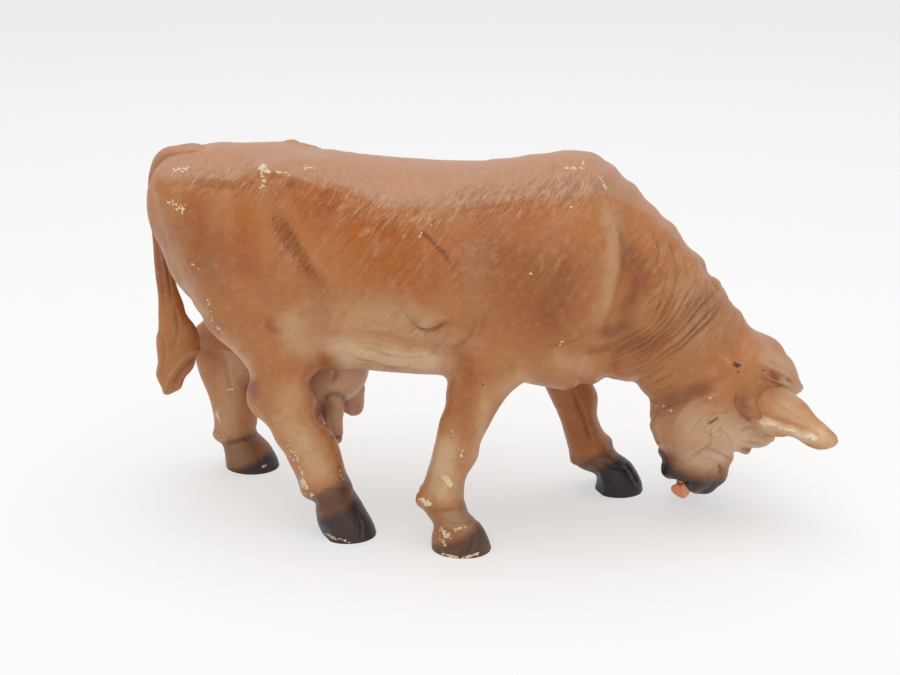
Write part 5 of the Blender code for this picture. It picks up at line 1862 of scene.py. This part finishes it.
def add_lamp(context, name, power, target, wide, way):
    """A square lamp at a way from the target, turned towards it."""
    lamp = bpy.data.lights.new(name, "AREA")
    lamp.energy = power
    lamp.size = wide
    thing = bpy.data.objects.new(name, lamp)
    context.scene.collection.objects.link(thing)
    place = target + way
    thing.location = place
    thing.rotation_euler = look_along(target - place)


def look_along(way):
    """Turns about X and Z that point an object's -Z along a way."""
    x, y, z = unit(way)
    return math.acos(-z), 0.0, math.atan2(-x, y)


def light_room(tree, strength):
    """White that the camera and mirrors see at strength 1, and all else at the room's strength."""
    room = Nodes(tree)
    background = tree.nodes["Background"]
    room.fill(background.inputs["Color"], (1, 1, 1))
    seen = {"Value": room.direct_rays(), "To Min": strength, "To Max": 1.0}
    room.fill(background.inputs["Strength"], room.node("ShaderNodeMapRange", None, seen))


class CowStudio(bpy.types.Operator):
    """Set up the table, the lights and the camera"""

    bl_idname = "cow.studio"
    bl_label = "Table, lights and camera"

    def execute(self, context):
        scene, studio = context.scene, context.scene.cow_studio
        table = bpy.data.objects.new("table", table_mesh())
        table.data.materials.append(table_finish(studio))
        scene.collection.objects.link(table)

        shift = figure_shift(scene.cow_sizes)
        view = View(studio)
        target = view.target + shift
        add_lamp(context, "soft_box", studio.top_light, target, *SOFT_BOX)
        add_lamp(context, "fill", studio.front_light, target, *FILL_LAMP)
        world = bpy.data.worlds.new("room")
        world.use_nodes = True
        light_room(world.node_tree, studio.world_light)
        scene.world = world

        camera = bpy.data.cameras.new("camera")
        camera.sensor_width = SENSOR_WIDTH
        camera.lens = studio.focal / PIXELS[0] * SENSOR_WIDTH
        camera.clip_start = studio.distance / 20
        eye = bpy.data.objects.new("camera", camera)
        scene.collection.objects.link(eye)
        eye.location = view.place + shift
        eye.rotation_euler = look_along(view.ahead)
        scene.camera = eye
        scene.view_settings.view_transform = "Standard"
        return {"FINISHED"}


class CowPanel(bpy.types.Panel):
    """The steps that build the cow, and its settings"""

    bl_idname = "VIEW3D_PT_cow"
    bl_label = "Grazing cow"
    bl_space_type = "VIEW_3D"
    bl_region_type = "UI"
    bl_category = "Cow"

    def draw(self, context):
        layout = self.layout
        for operator in OPERATORS:
            layout.operator(operator.bl_idname)
        for group in (context.scene.cow_sizes, context.scene.cow_paint, context.scene.cow_studio):
            box = layout.box()
            for name in group.__annotations__:
                box.prop(group, name)


GROUPS = {"cow_sizes": CowSizes, "cow_paint": CowPaint, "cow_studio": StudioSettings}
OPERATORS = (CowCasting, CowEars, CowTail, CowUdder, CowTongue, CowStudio)


def register():
    for kind in (*GROUPS.values(), *OPERATORS, CowPanel):
        bpy.utils.register_class(kind)
    for name, group in GROUPS.items():
        setattr(bpy.types.Scene, name, PointerProperty(type=group))


def unregister():
    for name in GROUPS:
        delattr(bpy.types.Scene, name)
    for kind in (CowPanel, *reversed(OPERATORS), *reversed(GROUPS.values())):
        bpy.utils.unregister_class(kind)


def main():
    register()
    bpy.ops.cow.casting()
    bpy.ops.cow.ears()
    bpy.ops.cow.tail()
    bpy.ops.cow.udder()
    bpy.ops.cow.tongue()
    bpy.ops.cow.studio()


if __name__ == "__main__":
    main()
